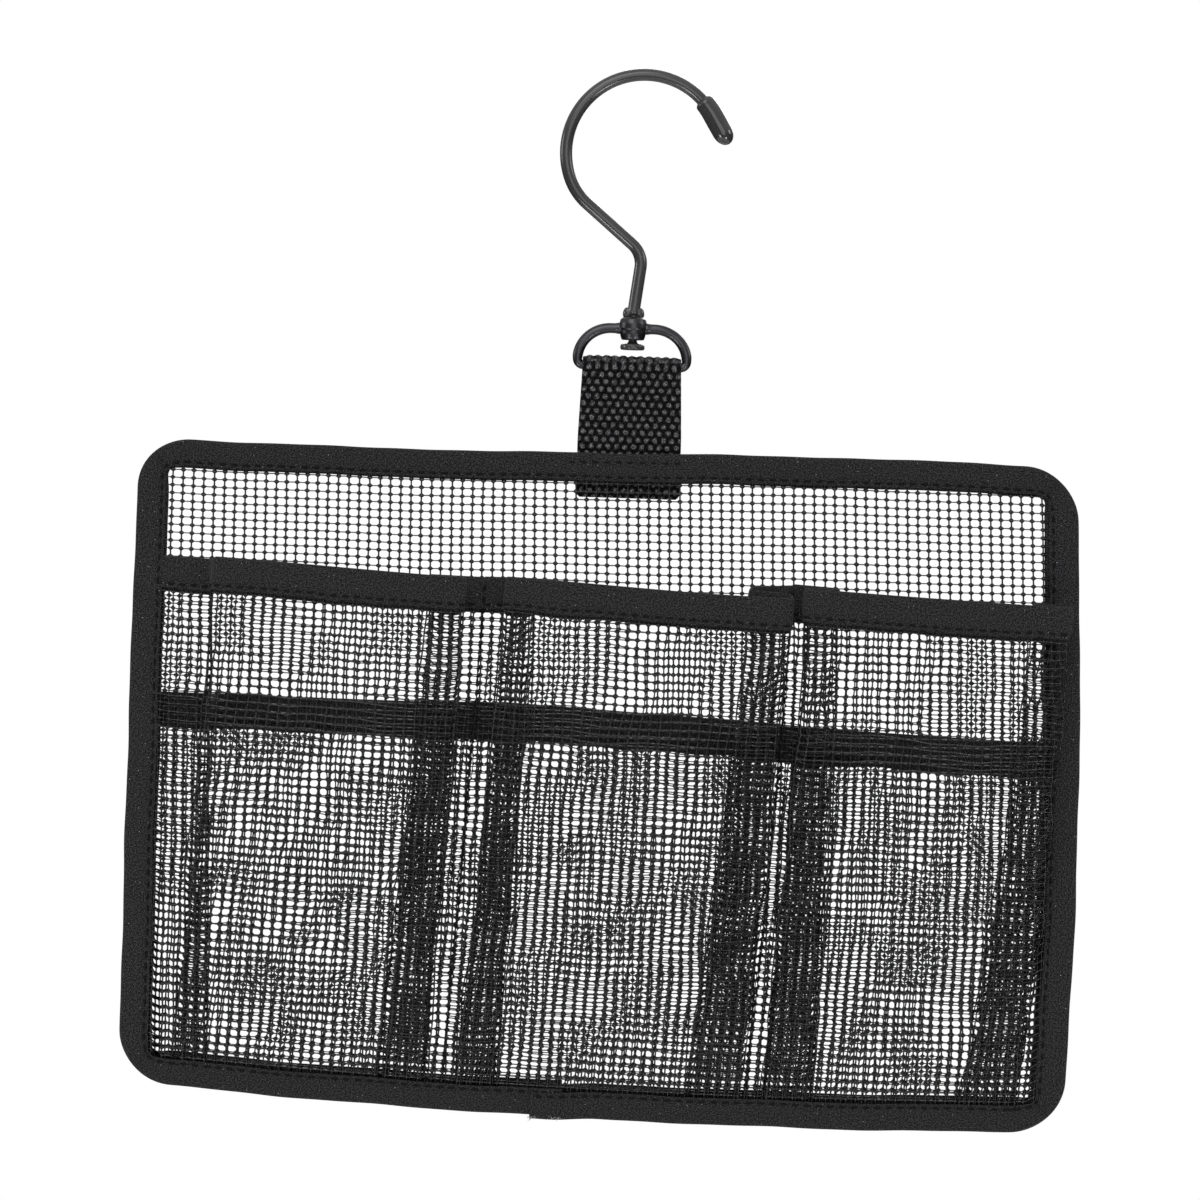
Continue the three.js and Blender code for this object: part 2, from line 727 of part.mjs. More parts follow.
const blackSteel = { color: 0x2e2e30, roughness: 0.35, metalness: 0.6 };
const blackRing = { color: 0x38383b, roughness: 0.4, metalness: 0.7 };
const vinyl = { color: 0x1d1d1f, roughness: 0.3, metalness: 0 };
const webbing = { color: 0x18181a, roughness: 0.95, metalness: 0 };
const tape = { color: 0x222224, roughness: 0.9, metalness: 0 };
const coatedNet = { color: 0x2a2a2c, roughness: 0.5, metalness: 0 };

function piece(name, geometry, finish) {
  const mesh = new THREE.Mesh(geometry, new THREE.MeshStandardMaterial(finish));
  mesh.name = name;
  return mesh;
}

// Assembly: hook carries the ring at its boss, and the ring carries the panel at its bar

const panel = new THREE.Group();
panel.position.z = -barDrop;
panel.add(piece('webbing_loop', webbingLoop(), webbing));
panel.add(piece('back_net', backNet(), coatedNet));
panel.add(piece('edge_binding', edgeBinding(), tape));
['left', 'centre', 'right'].forEach((place, k) => {
  const front = new Pocket(k, -1, frontHemShares, frontLipShares, frontRows);
  const back = new Pocket(k, 1, backHemShares, backLipShares, backRows);
  panel.add(piece(`front_pocket_net_${place}`, front.net(), coatedNet));
  panel.add(piece(`front_hem_${place}`, front.hem(), tape));
  panel.add(piece(`back_pocket_net_${place}`, back.net(), coatedNet));
  panel.add(piece(`back_hem_${place}`, back.hem(), tape));
});

const ring = new THREE.Group();
ring.position.set(kink.x, 0, bossCentre);
ring.add(piece('d_ring', dRing(), blackRing));
ring.add(panel);

const caddy = new THREE.Group();
caddy.add(piece('hook_wire', hookWire(), blackSteel));
caddy.add(piece('hook_tip_cap', hookTipCap(), vinyl));
caddy.add(ring);

export default caddy;
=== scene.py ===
# %% [markdown]
# # A hanging mesh shower caddy
# A panel of vinyl-coated net with pleated pockets on both faces, bound with woven tape and sewn to a
# loop of webbing. The loop hangs from a D-ring that swivels on a bent wire hook. The CAD model gives
# the frame: which pieces there are, where they are and how they move. This lesson dresses it, so every
# piece here is built in the same place, in metres, and rides on a CAD body.

# %% Load the frame
import json
import math

import bmesh
import bpy
import numpy as np
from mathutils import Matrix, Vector


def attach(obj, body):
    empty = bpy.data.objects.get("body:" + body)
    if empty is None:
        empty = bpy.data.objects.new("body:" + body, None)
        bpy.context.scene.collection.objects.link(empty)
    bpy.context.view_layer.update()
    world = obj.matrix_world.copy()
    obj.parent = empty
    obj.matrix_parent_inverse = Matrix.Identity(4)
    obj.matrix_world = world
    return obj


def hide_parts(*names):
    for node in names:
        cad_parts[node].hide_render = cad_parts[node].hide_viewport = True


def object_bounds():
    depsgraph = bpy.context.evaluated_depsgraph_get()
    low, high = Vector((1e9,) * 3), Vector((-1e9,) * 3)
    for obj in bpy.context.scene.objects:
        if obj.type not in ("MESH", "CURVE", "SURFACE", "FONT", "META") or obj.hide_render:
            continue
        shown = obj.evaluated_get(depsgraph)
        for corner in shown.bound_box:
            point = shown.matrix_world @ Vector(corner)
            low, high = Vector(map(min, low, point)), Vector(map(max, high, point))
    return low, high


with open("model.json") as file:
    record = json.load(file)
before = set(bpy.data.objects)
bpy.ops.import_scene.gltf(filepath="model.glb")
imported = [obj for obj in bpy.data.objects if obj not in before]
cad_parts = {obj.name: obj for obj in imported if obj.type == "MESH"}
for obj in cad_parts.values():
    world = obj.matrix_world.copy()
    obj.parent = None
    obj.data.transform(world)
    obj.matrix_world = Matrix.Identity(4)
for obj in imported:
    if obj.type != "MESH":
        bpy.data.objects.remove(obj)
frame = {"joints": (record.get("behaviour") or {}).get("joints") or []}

cad_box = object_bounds()
mm = 0.001  # sizes below are in millimetres, and the frame is in metres

# %% [markdown]
# ## Colours and nodes
# Colours are written as sRGB hex values, as a paint chart gives them, and turned to linear light here.
# A finish is then a short list of nodes, each with its settings, its values and its links. Plain coats
# need no more than one fine noise, which mottles their colour, varies their gloss and pits their surface
# all at once, so one function lists that. A noise's scale is how many of its grains fit in a metre: 500
# gives grains of 2 mm. Its detail adds finer ones, each half as wide.

# %% Colour and node helpers


def paint(hex_value):
    """An sRGB hex colour as the linear RGBA that Blender's sockets take."""
    shares = [int(hex_value[k:k + 2], 16) / 255 for k in (1, 3, 5)]
    linear = [c / 12.92 if c <= 0.04045 else ((c + 0.055) / 1.055) ** 2.4 for c in shares]
    return (*linear, 1.0)


def fill_sockets(tree, node, sockets):
    """Gives each socket its value or link: text is a colour, and a node stands for its first output."""
    for name, value in dict(sockets).items():
        if isinstance(value, str):
            value = paint(value)
        if isinstance(value, bpy.types.Node):
            value = value.outputs[0]
        if isinstance(value, bpy.types.NodeSocket):
            tree.links.new(value, node.inputs[name])
        else:
            node.inputs[name].default_value = value


def add(tree, kind, sockets=(), **settings):
    """Adds a node, named without its ShaderNode, with its settings, values and links."""
    made = tree.nodes.new("ShaderNode" + kind)
    for name, value in settings.items():
        setattr(made, name, value)
    fill_sockets(tree, made, sockets)
    return made


def new_finish(name):
    """A material, its node tree and its main shader."""
    finish = bpy.data.materials.new(name)
    finish.use_nodes = True
    return finish, finish.node_tree, finish.node_tree.nodes["Principled BSDF"]


def mottled_finish(name, grain, colours, roughness, relief=0, others=()):
    """A finish from one noise. Roughness is a number, or the range that the noise is mapped to."""
    finish, tree, shader = new_finish(name)
    place = add(tree, "TexCoord")
    mottle = add(tree, "TexNoise", {"Vector": place.outputs["Object"], **grain})
    shade = add(tree, "MixRGB", {"Fac": mottle, "Color1": colours[0], "Color2": colours[1]})
    if isinstance(roughness, dict):
        roughness = add(tree, "MapRange", {"Value": mottle, **roughness})
    fill_sockets(tree, shader, {"Base Color": shade, "Roughness": roughness, **dict(others)})
    if relief:
        pits = add(tree, "Bump", {"Height": mottle, "Distance": relief * mm})
        fill_sockets(tree, shader, {"Normal": pits})
    print("finish:", name)
    return finish


print("mid grey in linear light:", [round(c, 3) for c in paint("#808080")])

# %% [markdown]
# ## Camera
# A product picture is taken from far away with a long lens, so that the net's rows stay parallel. The
# camera looks level at the front face. It is rolled a little, because the caddy hangs a little askew
# in the picture.

# %% Camera
view_centre = (-9.1 * mm, -160.1 * mm)  # the point of the caddy's plane in the middle of the picture
view_width = 369.2 * mm
camera_distance = 2.0
roll = math.radians(-1.9)

camera_data = bpy.data.cameras.new("long_lens")
camera_data.sensor_width = 36
camera_data.lens = camera_data.sensor_width * camera_distance / view_width
camera = bpy.data.objects.new("camera", camera_data)
camera.location = (view_centre[0], -camera_distance, view_centre[1])
camera.rotation_euler = (math.pi / 2, roll, 0)
bpy.context.scene.collection.objects.link(camera)
bpy.context.scene.camera = camera
print(f"lens {camera_data.lens:.0f} mm at {camera_distance} m")

# %% [markdown]
# ## Light
# The picture is shot on white, which shows through the holes of the net. The camera sees a white
# world, but the caddy is lit as under a large white sail: bright from above, dim from below, so that
# black stays black and round wire gets a broad soft sheen on top. Large soft boxes in front light tape
# and net, two small low ones draw the thin bright lines along the wire and the glints on the vinyl
# tip, two at the sides graze the weave, and one lights the back face.

# %% World and soft boxes
world = bpy.data.worlds.new("white_studio")
world.use_nodes = True
tree = world.node_tree
ray = add(tree, "LightPath")
sky = add(tree, "TexCoord")
way = add(tree, "SeparateXYZ", {"Vector": sky.outputs["Generated"]})
sail = add(tree, "MapRange", {"Value": way.outputs["Z"], "From Min": -0.1, "From Max": 0.8,
                              "To Min": 0.03, "To Max": 0.9})
glow = add(tree, "Math", {0: ray.outputs["Is Camera Ray"], 1: sail}, operation="MAXIMUM")
fill_sockets(tree, tree.nodes["Background"], {"Color": (1, 1, 1, 1), "Strength": glow})
bpy.context.scene.world = world
bpy.context.scene.view_settings.view_transform = "Standard"


def soft_box(name, place, size, power):
    """A square lamp that points at the middle of the caddy."""
    lamp = bpy.data.lights.new(name, "AREA")
    lamp.shape, lamp.size, lamp.energy = "SQUARE", size, power
    box = bpy.data.objects.new(name, lamp)
    box.location = place
    aim = Vector((view_centre[0], 0, view_centre[1])) - box.location
    box.rotation_euler = aim.to_track_quat("-Z", "Y").to_euler()
    bpy.context.scene.collection.objects.link(box)


soft_box("key_box", (-0.45, -1.4, 1.0), 1.2, 13.4)
soft_box("front_box", (0.2, -1.9, -0.1), 1.2, 8)
soft_box("low_left_box", (-0.38, -0.5, -0.5), 0.18, 1.4)
soft_box("low_right_box", (0.34, -0.5, -0.5), 0.18, 1.4)
soft_box("left_side_box", (-1.3, -0.1, 0.1), 0.4, 3)
soft_box("right_side_box", (1.3, -0.2, 0.35), 0.4, 3)
soft_box("back_box", (0.3, 1.4, 0.6), 0.9, 10)

# %% [markdown]
# ## Making meshes
# Most pieces here are long and bendy: wire, tape, thread, webbing. Each is a row of outlines, skinned
# from one outline to the next. Tape and webbing also carry a point attribute called weave, in
# millimetres along and across, so that the threads in their material follow them round every bend.

# %% Mesh helpers


def sculpt(name, points, faces, weave=None, smooth=True):
    """A mesh object from points in millimetres in the frame, and faces."""
    mesh = bpy.data.meshes.new(name)
    mesh.from_pydata((np.asarray(points, float) * mm).tolist(), [], faces)
    if weave is not None:
        threads = mesh.attributes.new("weave", "FLOAT_VECTOR", "POINT")
        threads.data.foreach_set("vector", np.asarray(weave, np.float32).ravel())
    mesh.polygons.foreach_set("use_smooth", [smooth] * len(mesh.polygons))
    mesh.update()
    made = bpy.data.objects.new(name, mesh)
    bpy.context.scene.collection.objects.link(made)
    return made


def face_out(piece):
    """Turns the faces of a closed mesh to point out."""
    skin_mesh = bmesh.new()
    skin_mesh.from_mesh(piece.data)
    bmesh.ops.recalc_face_normals(skin_mesh, faces=skin_mesh.faces)
    skin_mesh.to_mesh(piece.data)
    skin_mesh.free()
    return piece


def skin(rings, joined=False):
    """Points and faces of a skin over outlines of equal length, closed at both ends unless joined."""
    count, size = rings.shape[:2]
    here = np.arange(count if joined else count - 1)[:, None] * size
    there = (here + size) % (count * size)
    k = np.arange(size)[None, :]
    step = (k + 1) % size
    quads = np.stack([here + k, here + step, there + step, there + k], -1).reshape(-1, 4).tolist()
    if not joined:
        quads += [list(range(size)), list(range((count - 1) * size, count * size))]
    return rings.reshape(-1, 3), quads


def merge(parts):
    """Several (points, faces) as one."""
    points, faces, start = [], [], 0
    for some_points, some_faces in parts:
        points.append(some_points)
        faces += [[start + corner for corner in face] for face in some_faces]
        start += len(some_points)
    return np.concatenate(points), faces


def dress(piece, finish, body, slot, *nodes):
    """Gives a piece its finish and its CAD body, and hides the CAD nodes that it stands for."""
    piece.data.materials.append(finish)
    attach(piece, body)
    if nodes:
        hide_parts(*nodes)
    print(f"{piece.name}: {len(piece.data.polygons)} faces on {body}")
    return piece


print("faces of a skin over three squares:", len(skin(np.zeros((3, 4, 3)))[1]))

# %% [markdown]
# ## Lines and waves
# Cloth is never quite straight. A few small functions measure lines, blend from one value to the next
# and add waves. A sum of four sines looks irregular, yet it is the same on each run.

# %% Line and wave helpers


def whole_turn(count):
    """Angles all round a circle."""
    return np.linspace(0, 2 * math.pi, count, endpoint=False)


def arc_lengths(line):
    """The distance along a line at each of its points."""
    return np.concatenate([[0], np.cumsum(np.linalg.norm(np.diff(line, axis=0), axis=1))])


def points_along(line, at):
    """Points at some distances along a line."""
    return np.stack([np.interp(at, arc_lengths(line), c) for c in line.T], -1)


def headings(line):
    """The direction of a line at each of its points."""
    along = np.gradient(line, axis=0)
    return along / np.linalg.norm(along, axis=1)[:, None]


def lerp(low, high, share):
    """The value at a share of the way from low to high."""
    return low + (high - low) * share


def ease(share):
    """0 below 0, 1 above 1, and a smooth step between."""
    share = np.clip(share, 0, 1)
    return share * share * (3 - 2 * share)


def bump(at, start, end, rise=3):
    """1 between two places and 0 outside them, with a smooth rise at both."""
    return ease((at - start) / rise) * ease((end - at) / rise)


def hill(at, middle, half, power=2):
    """1 at a place and 0 well away from it; a higher power gives it a flatter top."""
    return np.exp(-((at - middle) / half) ** power)


def ripple(u, v, length, seed):
    """A smooth irregular wave over two coordinates, from about -1 to 1: four sines, shorter and lower."""
    total = 0
    for k in range(4):
        turn = seed * 1.7 + k * 2.4
        pitch = length / (1 + 0.45 * k)
        along = u * math.cos(turn) + v * math.sin(turn)
        total = total + np.sin(2 * math.pi * along / pitch + seed * 5.1 + k * 1.9) / (1 + 0.6 * k)
    return total / 2


def stray(u, v, *waves):
    """How far cloth strays at a place, from waves that are each a rise, a length and a seed."""
    return sum(rise * ripple(u, v, length, seed) for rise, length, seed in waves)


print("a 10 mm wave passes", [round(float(ripple(u, 0, 10, 1)), 2) for u in range(6)])

# %% [markdown]
# ## Floor
# A pale round floor lies a little below the caddy. It stays under the picture's lower edge, so that
# only the other views show it. It is uncoated background paper, dull all over, with flecks of 1.1 mm.

# %% Floor
floor_drop, floor_radius = 75, 400
floor_paper = mottled_finish("seamless_paper", {"Scale": 900.0, "Detail": 3.0},
                             ("#f0f0ee", "#f8f8f6"), 0.9, 0.05)

turns = whole_turn(96)
floor_z = cad_box[0].z / mm - floor_drop
rim = np.stack([floor_radius * np.cos(turns), floor_radius * np.sin(turns), 0 * turns + floor_z], -1)
floor = sculpt("floor", rim, [list(range(len(rim)))])
floor.data.materials.append(floor_paper)
print(f"floor {2 * floor_radius} mm wide, {floor_drop} mm below the caddy")

# %% [markdown]
# ## Powder-coated steel
# The hook is steel wire with a thin black powder coat. The coat is a plastic, so it isn't metallic:
# its colour is near black, and its faint orange peel spreads the light boxes into long soft streaks. The
# peel has grains of 2 mm and the wear patches of 8 mm, so this finish has two noises.

# %% Finish of the hook
powder_coat, tree, shader = new_finish("black_powder_coated_steel")
place = add(tree, "TexCoord").outputs["Object"]
peel = add(tree, "TexNoise", {"Vector": place, "Scale": 500.0, "Detail": 0.0})
wear = add(tree, "TexNoise", {"Vector": place, "Scale": 120.0, "Detail": 1.0})
shade = add(tree, "MixRGB", {"Fac": wear, "Color1": "#2a2a2b", "Color2": "#3a3a3b"})
gloss = add(tree, "MapRange", {"Value": wear, "To Min": 0.2, "To Max": 0.25})
relief = add(tree, "Bump", {"Height": peel, "Distance": 0.001 * mm})
fill_sockets(tree, shader, {"Base Color": shade, "Roughness": gloss, "IOR": 1.5, "Normal": relief})
print("finish:", powder_coat.name)

# %% [markdown]
# ## Bent wire
# The hook is drawn as it is bent: straight lengths and turns, in one plane. The same steps as in the
# CAD source give the same line, here as many close points. Above the swivel two ears are pinched out
# of the wire, and below them it is turned down to a thinner shank with a riveted head.

# %% Bent wire and tubes


def bent_wire(start, heading, steps, spacing=0.5):
    """Points in the XZ plane along a wire. A step is (length, 0, 0) straight on, or (0, radius, turn)."""
    at, points = np.array(start, float), [np.array(start, float)]
    for length, radius, turn in steps:
        count = max(2, math.ceil((length or abs(turn) * radius) / spacing))
        side = math.copysign(1, turn)
        middle = at + side * radius * np.array([-math.sin(heading), math.cos(heading)])
        for share in np.arange(1, count + 1) / count:
            if turn:
                angle = heading - side * math.pi / 2 + share * turn
                points.append(middle + radius * np.array([math.cos(angle), math.sin(angle)]))
            else:
                points.append(at + share * length * np.array([math.cos(heading), math.sin(heading)]))
        at, heading = points[-1], heading + turn
    return np.array(points)


def tube(line, radii, sides=24):
    """Rings round a line in the XZ plane, with a radius at each of its points."""
    along, turn = headings(line), whole_turn(sides)
    radii = np.broadcast_to(radii, len(line))[:, None]
    x = line[:, :1] - along[:, 1:] * radii * np.cos(turn)
    z = line[:, 1:] + along[:, :1] * radii * np.cos(turn)
    y = np.broadcast_to(radii * np.sin(turn), x.shape)
    return np.stack([x, y, z], -1)


def lathe(outline, sides=48):
    """Rings about the Z axis from (radius, height) pairs."""
    outline, turn = np.array(outline, float), whole_turn(sides)
    x, y = outline[:, :1] * np.cos(turn), outline[:, :1] * np.sin(turn)
    return np.stack([x, y, np.broadcast_to(outline[:, 1:], x.shape)], -1)


def rounded(outline, size=0.25, steps=4):
    """An outline with each inner corner cut to a small curve."""
    outline = np.array(outline, float)
    points = [outline[0]]
    for before, corner, after in zip(outline[:-2], outline[1:-1], outline[2:]):
        reach_in = min(size, np.linalg.norm(corner - before) / 2)
        reach_out = min(size, np.linalg.norm(after - corner) / 2)
        start = corner + (before - corner) / np.linalg.norm(before - corner) * reach_in
        end = corner + (after - corner) / np.linalg.norm(after - corner) * reach_out
        for share in np.arange(steps + 1) / steps:
            points.append(lerp(lerp(start, corner, share), lerp(corner, end, share), share))
    return np.array(points + [outline[-1]])


print("two bends of a wire:", len(bent_wire((0, 0), 0, [(0, 5, 1), (0, 5, -1)])), "points")

# %% Line of the hook
quarter = math.pi / 2
wire_radius, hook_inside = 1.9, 22.2
hook_radius, throat_radius, knee_radius, ankle_radius = hook_inside + wire_radius, 18.5, 8, 5
tip_length, diagonal_length, stem_length = 7.8, 18.7, 13.4
tip_angle, back_angle = math.radians(31), math.radians(200)
diagonal_angle, stem_lean = math.radians(-40), math.radians(7)
tip_heading = tip_angle + quarter
tip_run = np.array([math.cos(tip_heading), math.sin(tip_heading)])
tip_bend = hook_radius * np.array([math.cos(tip_angle), math.sin(tip_angle)]) - [0, hook_inside]

hook_steps = [
    (tip_length, 0, 0),
    (0, hook_radius, back_angle - tip_angle),
    (0, throat_radius, diagonal_angle - back_angle + 3 * quarter),
    (diagonal_length, 0, 0),
    (0, knee_radius, -quarter - stem_lean - diagonal_angle),
    (stem_length, 0, 0),
    (0, ankle_radius, stem_lean),
]
line = bent_wire(tip_bend - tip_length * tip_run, tip_heading, hook_steps)
print(f"the hook takes {arc_lengths(line)[-1]:.0f} mm of wire")

# %% Shank and ears
pivots = {j["name"]: np.array(j["pos_m"]) / mm for j in frame["joints"]}
boss, bar = pivots["hook_swivel"], pivots["panel_swing"]
boss_height, boss_play, head_play, head_height, head_radius = 7, 0.3, 0.5, 2.6, 3.75
shank_radius, shank_round, core_lap, near_axis = 1.3, 0.3, 0.4, 0.01
ear_half, ear_across, ear_through, ear_tall = 1.2, 1.65, 1.35, 1.75
ear_lean, ear_drop, ear_flat = 0.2, 0.2, 0.27
kink_z = boss[2] + boss_height / 2 + boss_play + ear_half
head_top = boss[2] - boss_height / 2 - head_play

# From a core inside the wire, round a blunt nose, down the thinner shank and round the riveted head
core = [(near_axis, kink_z + core_lap), (wire_radius * 0.97, kink_z + core_lap)]
nose = [(wire_radius * math.cos(a), kink_z - ear_half * math.sin(a)) for a in np.linspace(0, 0.8, 6)]
head_shares = [(0.35, 0), (0.4, -0.12), (0.56, -0.24), (0.86, -0.3), (0.97, -0.38), (1.0, -0.56),
               (1.0, -0.84), (0.93, -1.0), (0.75, -0.98), (0.4, -0.9), (0.01, -0.86)]
head = [(r * head_radius, head_top + z * head_height) for r, z in head_shares]
turned = rounded([nose[-1], (shank_radius, kink_z - ear_half), *head], shank_round)[1:]
shank = lathe(core + nose + list(turned))
shank[..., 0] += boss[0]


def ear(side):
    """One ear: steel squeezed out of the wire beside the shank, flat below where it faces the boss."""
    ball = lathe([(math.sin(a) ** 0.6, math.cos(a)) for a in np.linspace(0.02, 3.12, 25)], 32)
    x = ear_across * ball[..., 0] + side * (ear_across - ear_lean * ball[..., 2])
    z = np.maximum(ear_tall * ball[..., 2] - ear_drop, -ear_half - ear_flat)
    return np.stack([x + boss[0], ear_through * ball[..., 1], z + kink_z], -1)


points, faces = merge([skin(tube(line, wire_radius)), skin(shank), skin(ear(-1)), skin(ear(1))])
hook_piece = face_out(sculpt("bent_hook", points, faces))
dress(hook_piece, powder_coat, "hook", "hook_steel", "hook_wire")

# %% [markdown]
# ## Dipped vinyl tip
# The cap over the cut end of the wire is soft vinyl, dipped on a former: smooth, glossy and black,
# with a rounded mouth, a slight belly and a long dome. It is a tube on the line of the bent wire.
# Dipping leaves slow ripples, about 4.5 mm long, that only stir the glints.

# %% Tip cap
dipped_vinyl = mottled_finish(
    "dipped_black_vinyl", {"Scale": 220.0, "Detail": 3.0}, ("#29292a", "#3a3a3b"),
    {"To Min": 0.08, "To Max": 0.16}, 0.01, {"IOR": 1.53})

cap_length, cap_radius, cap_past_tip = 16, 3, 2.5
dome_length, belly_rise, mouth_length, mouth_roll = 4.2, 0.16, 1.5, 0.36
cap_straight = tip_length + cap_past_tip
cap_line = bent_wire(
    tip_bend - cap_straight * tip_run, tip_heading,
    [(cap_straight, 0, 0), (0, hook_radius, (cap_length - cap_straight) / hook_radius)], 0.25)
reach = arc_lengths(cap_line)
dome = np.sqrt(np.clip(1 - np.clip(1 - reach / dome_length, 0, 1) ** 2, 0.0004, 1))
belly = belly_rise * np.sin(math.pi * np.clip(reach / cap_length, 0, 1))
rolled = 1 - mouth_roll * np.clip((reach - cap_length + mouth_length) / mouth_length, 0, 1) ** 2.4
cap = tube(cap_line, (cap_radius + belly) * dome * rolled, 36)
dress(face_out(sculpt("tip_sleeve", *skin(cap))), dipped_vinyl, "hook", "tip_vinyl", "hook_tip_cap")

# %% [markdown]
# ## Die-cast D-ring
# The ring is zinc, cast in one piece with its boss and plated black, then worn to a soft dark sheen.
# Plating is metal, so metallic is 1 and the colour is what it reflects, and it has worn in patches of
# about 4.5 mm. The rod flares where it runs into the boss, as castings do, and the boss has the hook's
# shank in its countersunk hole.

# %% D-ring
black_nickel = mottled_finish(
    "black_nickel_plated_zinc", {"Scale": 220.0, "Detail": 1.0}, ("#38383a", "#48484b"),
    {"To Min": 0.3, "To Max": 0.38}, 0.0001, {"Metallic": 1.0})

ring_rod, arch_rise, ring_half, ring_corner, arm_reach = 1.4, 9.7, 16.8, 1.9, 6.5
bar_half = ring_half - ring_corner
shoulder = ring_half - arm_reach
rod_end = 2.95  # the rod ends inside the boss, this far from its axis
arch_extra, arch_start, arch_blend = 0.2, 0.8, 3
flare, flare_at, flare_length = 0.2, 1.4, 0.7


def arc(middle, radii, start, end, count):
    """Points along a part of an ellipse."""
    angle = np.linspace(start, end, count)
    return np.stack([middle[0] + radii[0] * np.cos(angle), middle[1] + radii[1] * np.sin(angle)], -1)


ring_line = np.concatenate([
    np.linspace((-rod_end, 0), (-arm_reach, 0), 12)[:-1],
    arc((-arm_reach, -arch_rise), (shoulder, arch_rise), quarter, 2 * quarter, 60)[:-1],
    arc((-bar_half, -arch_rise), (ring_corner, ring_corner), 2 * quarter, 3 * quarter, 16),
    arc((bar_half, -arch_rise), (ring_corner, ring_corner), 3 * quarter, 4 * quarter, 16)[:-1],
    arc((arm_reach, -arch_rise), (shoulder, arch_rise), 0, quarter, 60)[:-1],
    np.linspace((arm_reach, 0), (rod_end, 0), 12),
])
reach = arc_lengths(ring_line)
to_end = np.minimum(reach, reach[-1] - reach)
# The arch is a little thicker than the straight bar, and flares where it runs into the boss
over_bar = ease((ring_line[:, 1] + arch_rise + ring_corner - arch_start) / arch_blend)
thickness = ring_rod + arch_extra * over_bar + flare * hill(to_end, flare_at, flare_length)
rod = tube(ring_line + boss[[0, 2]], thickness)
# Up the bore, over the top, down the barrel and into the countersink, as radius and height
boss_outline = rounded([
    (1.6, 0), (1.6, 3.5), (3.0, 3.5), (3.95, 2.75), (4.27, 1.5), (4.27, -0.1), (4.02, -0.5),
    (3.98, -1.6), (3.7, -2.8), (3.4, -3.5), (3.05, -3.5), (1.6, -0.9), (1.6, 0)], 0.22)[:-1]
barrel = lathe(boss_outline)
barrel[..., 0] += boss[0]
barrel[..., 2] += boss[2]
points, faces = merge([skin(rod), skin(barrel, joined=True)])
dress(face_out(sculpt("swivel_ring", points, faces)), black_nickel, "ring", "ring_metal", "d_ring")

# %% [markdown]
# ## The panel's drawn shape
# Sewing draws a panel in: its top is a little narrower than its foot, its left side a little shorter
# than its right, and its foot bows down. One function moves any point of the flat cut panel to its
# place, so that net, tape, pockets and stitches all agree.

# %% Panel
panel_width, panel_height, panel_corner, inner_corner = 290.4, 204.3, 16, 2
binding_width, hem_height = 9.6, 10.2
strap_drop, strap_offset = 26.8, 5.3
panel_left = -panel_width / 2 - strap_offset
inner_bottom = panel_height - binding_width
# How far sewing draws it, as shares of the width and of the height
top_share, right_bulge, left_bulge = 0.992, 0.011, 0.0025
left_share, foot_bow, top_wave = 0.968, 0.0196, 0.0037


def drawn(x, down, y):
    """A point of the flat panel, x from its left edge and down from its top edge, in its sewn place."""
    x, down, y = np.broadcast_arrays(np.asarray(x, float), down, y)
    u, v = x / panel_width, down / panel_height
    bow = 4 * v * (1 - v)
    across = u * (lerp(top_share, 1, v) + right_bulge * bow) - left_bulge * bow * (1 - u)
    wave = top_wave * np.sin(2 * math.pi * u) * (1 - v) ** 4
    fall = v * (lerp(left_share, 1, u) + 4 * foot_bow * u * (1 - u)) + wave
    place = [panel_left + panel_width * across, y, -strap_drop - panel_height * fall]
    return np.stack(place, -1) + bar


foot_fall = drawn(panel_width / 2, panel_height, 0)[2] - drawn(0, panel_height, 0)[2]
print(f"the middle of the foot hangs {-foot_fall:.1f} mm below its left corner")

# %% [markdown]
# ## Coated net
# The net is polyester yarn in a plain open grid, dipped in black vinyl, which rounds the corners of its
# holes and swells its crossings. It could be a picture with holes in it, but at this distance the
# strands cross each other layer over layer, so each hole is real geometry. Every cell of the grid is a
# ring of eight points round its hole, joined to the ridges of its four strands on both faces. The vinyl
# dries in beads of up to 1.4 mm, some glossy and some dull, which makes the net sparkle.

# %% Net
column_pitch, row_pitch = 3.2, 2.5
upright_half, level_half = 0.25, 0.18
corner_across, corner_down = 0.6, 0.48
ridge = 0.24

vinyl_net = mottled_finish(
    "vinyl_coated_polyester_net", {"Scale": 700.0, "Detail": 3.0}, ("#020202", "#1c1c1d"),
    {"From Min": 0.3, "From Max": 0.7, "To Min": 0.1, "To Max": 0.36}, 0.15,
    {"Specular IOR Level": 0.4, "IOR": 1.52})


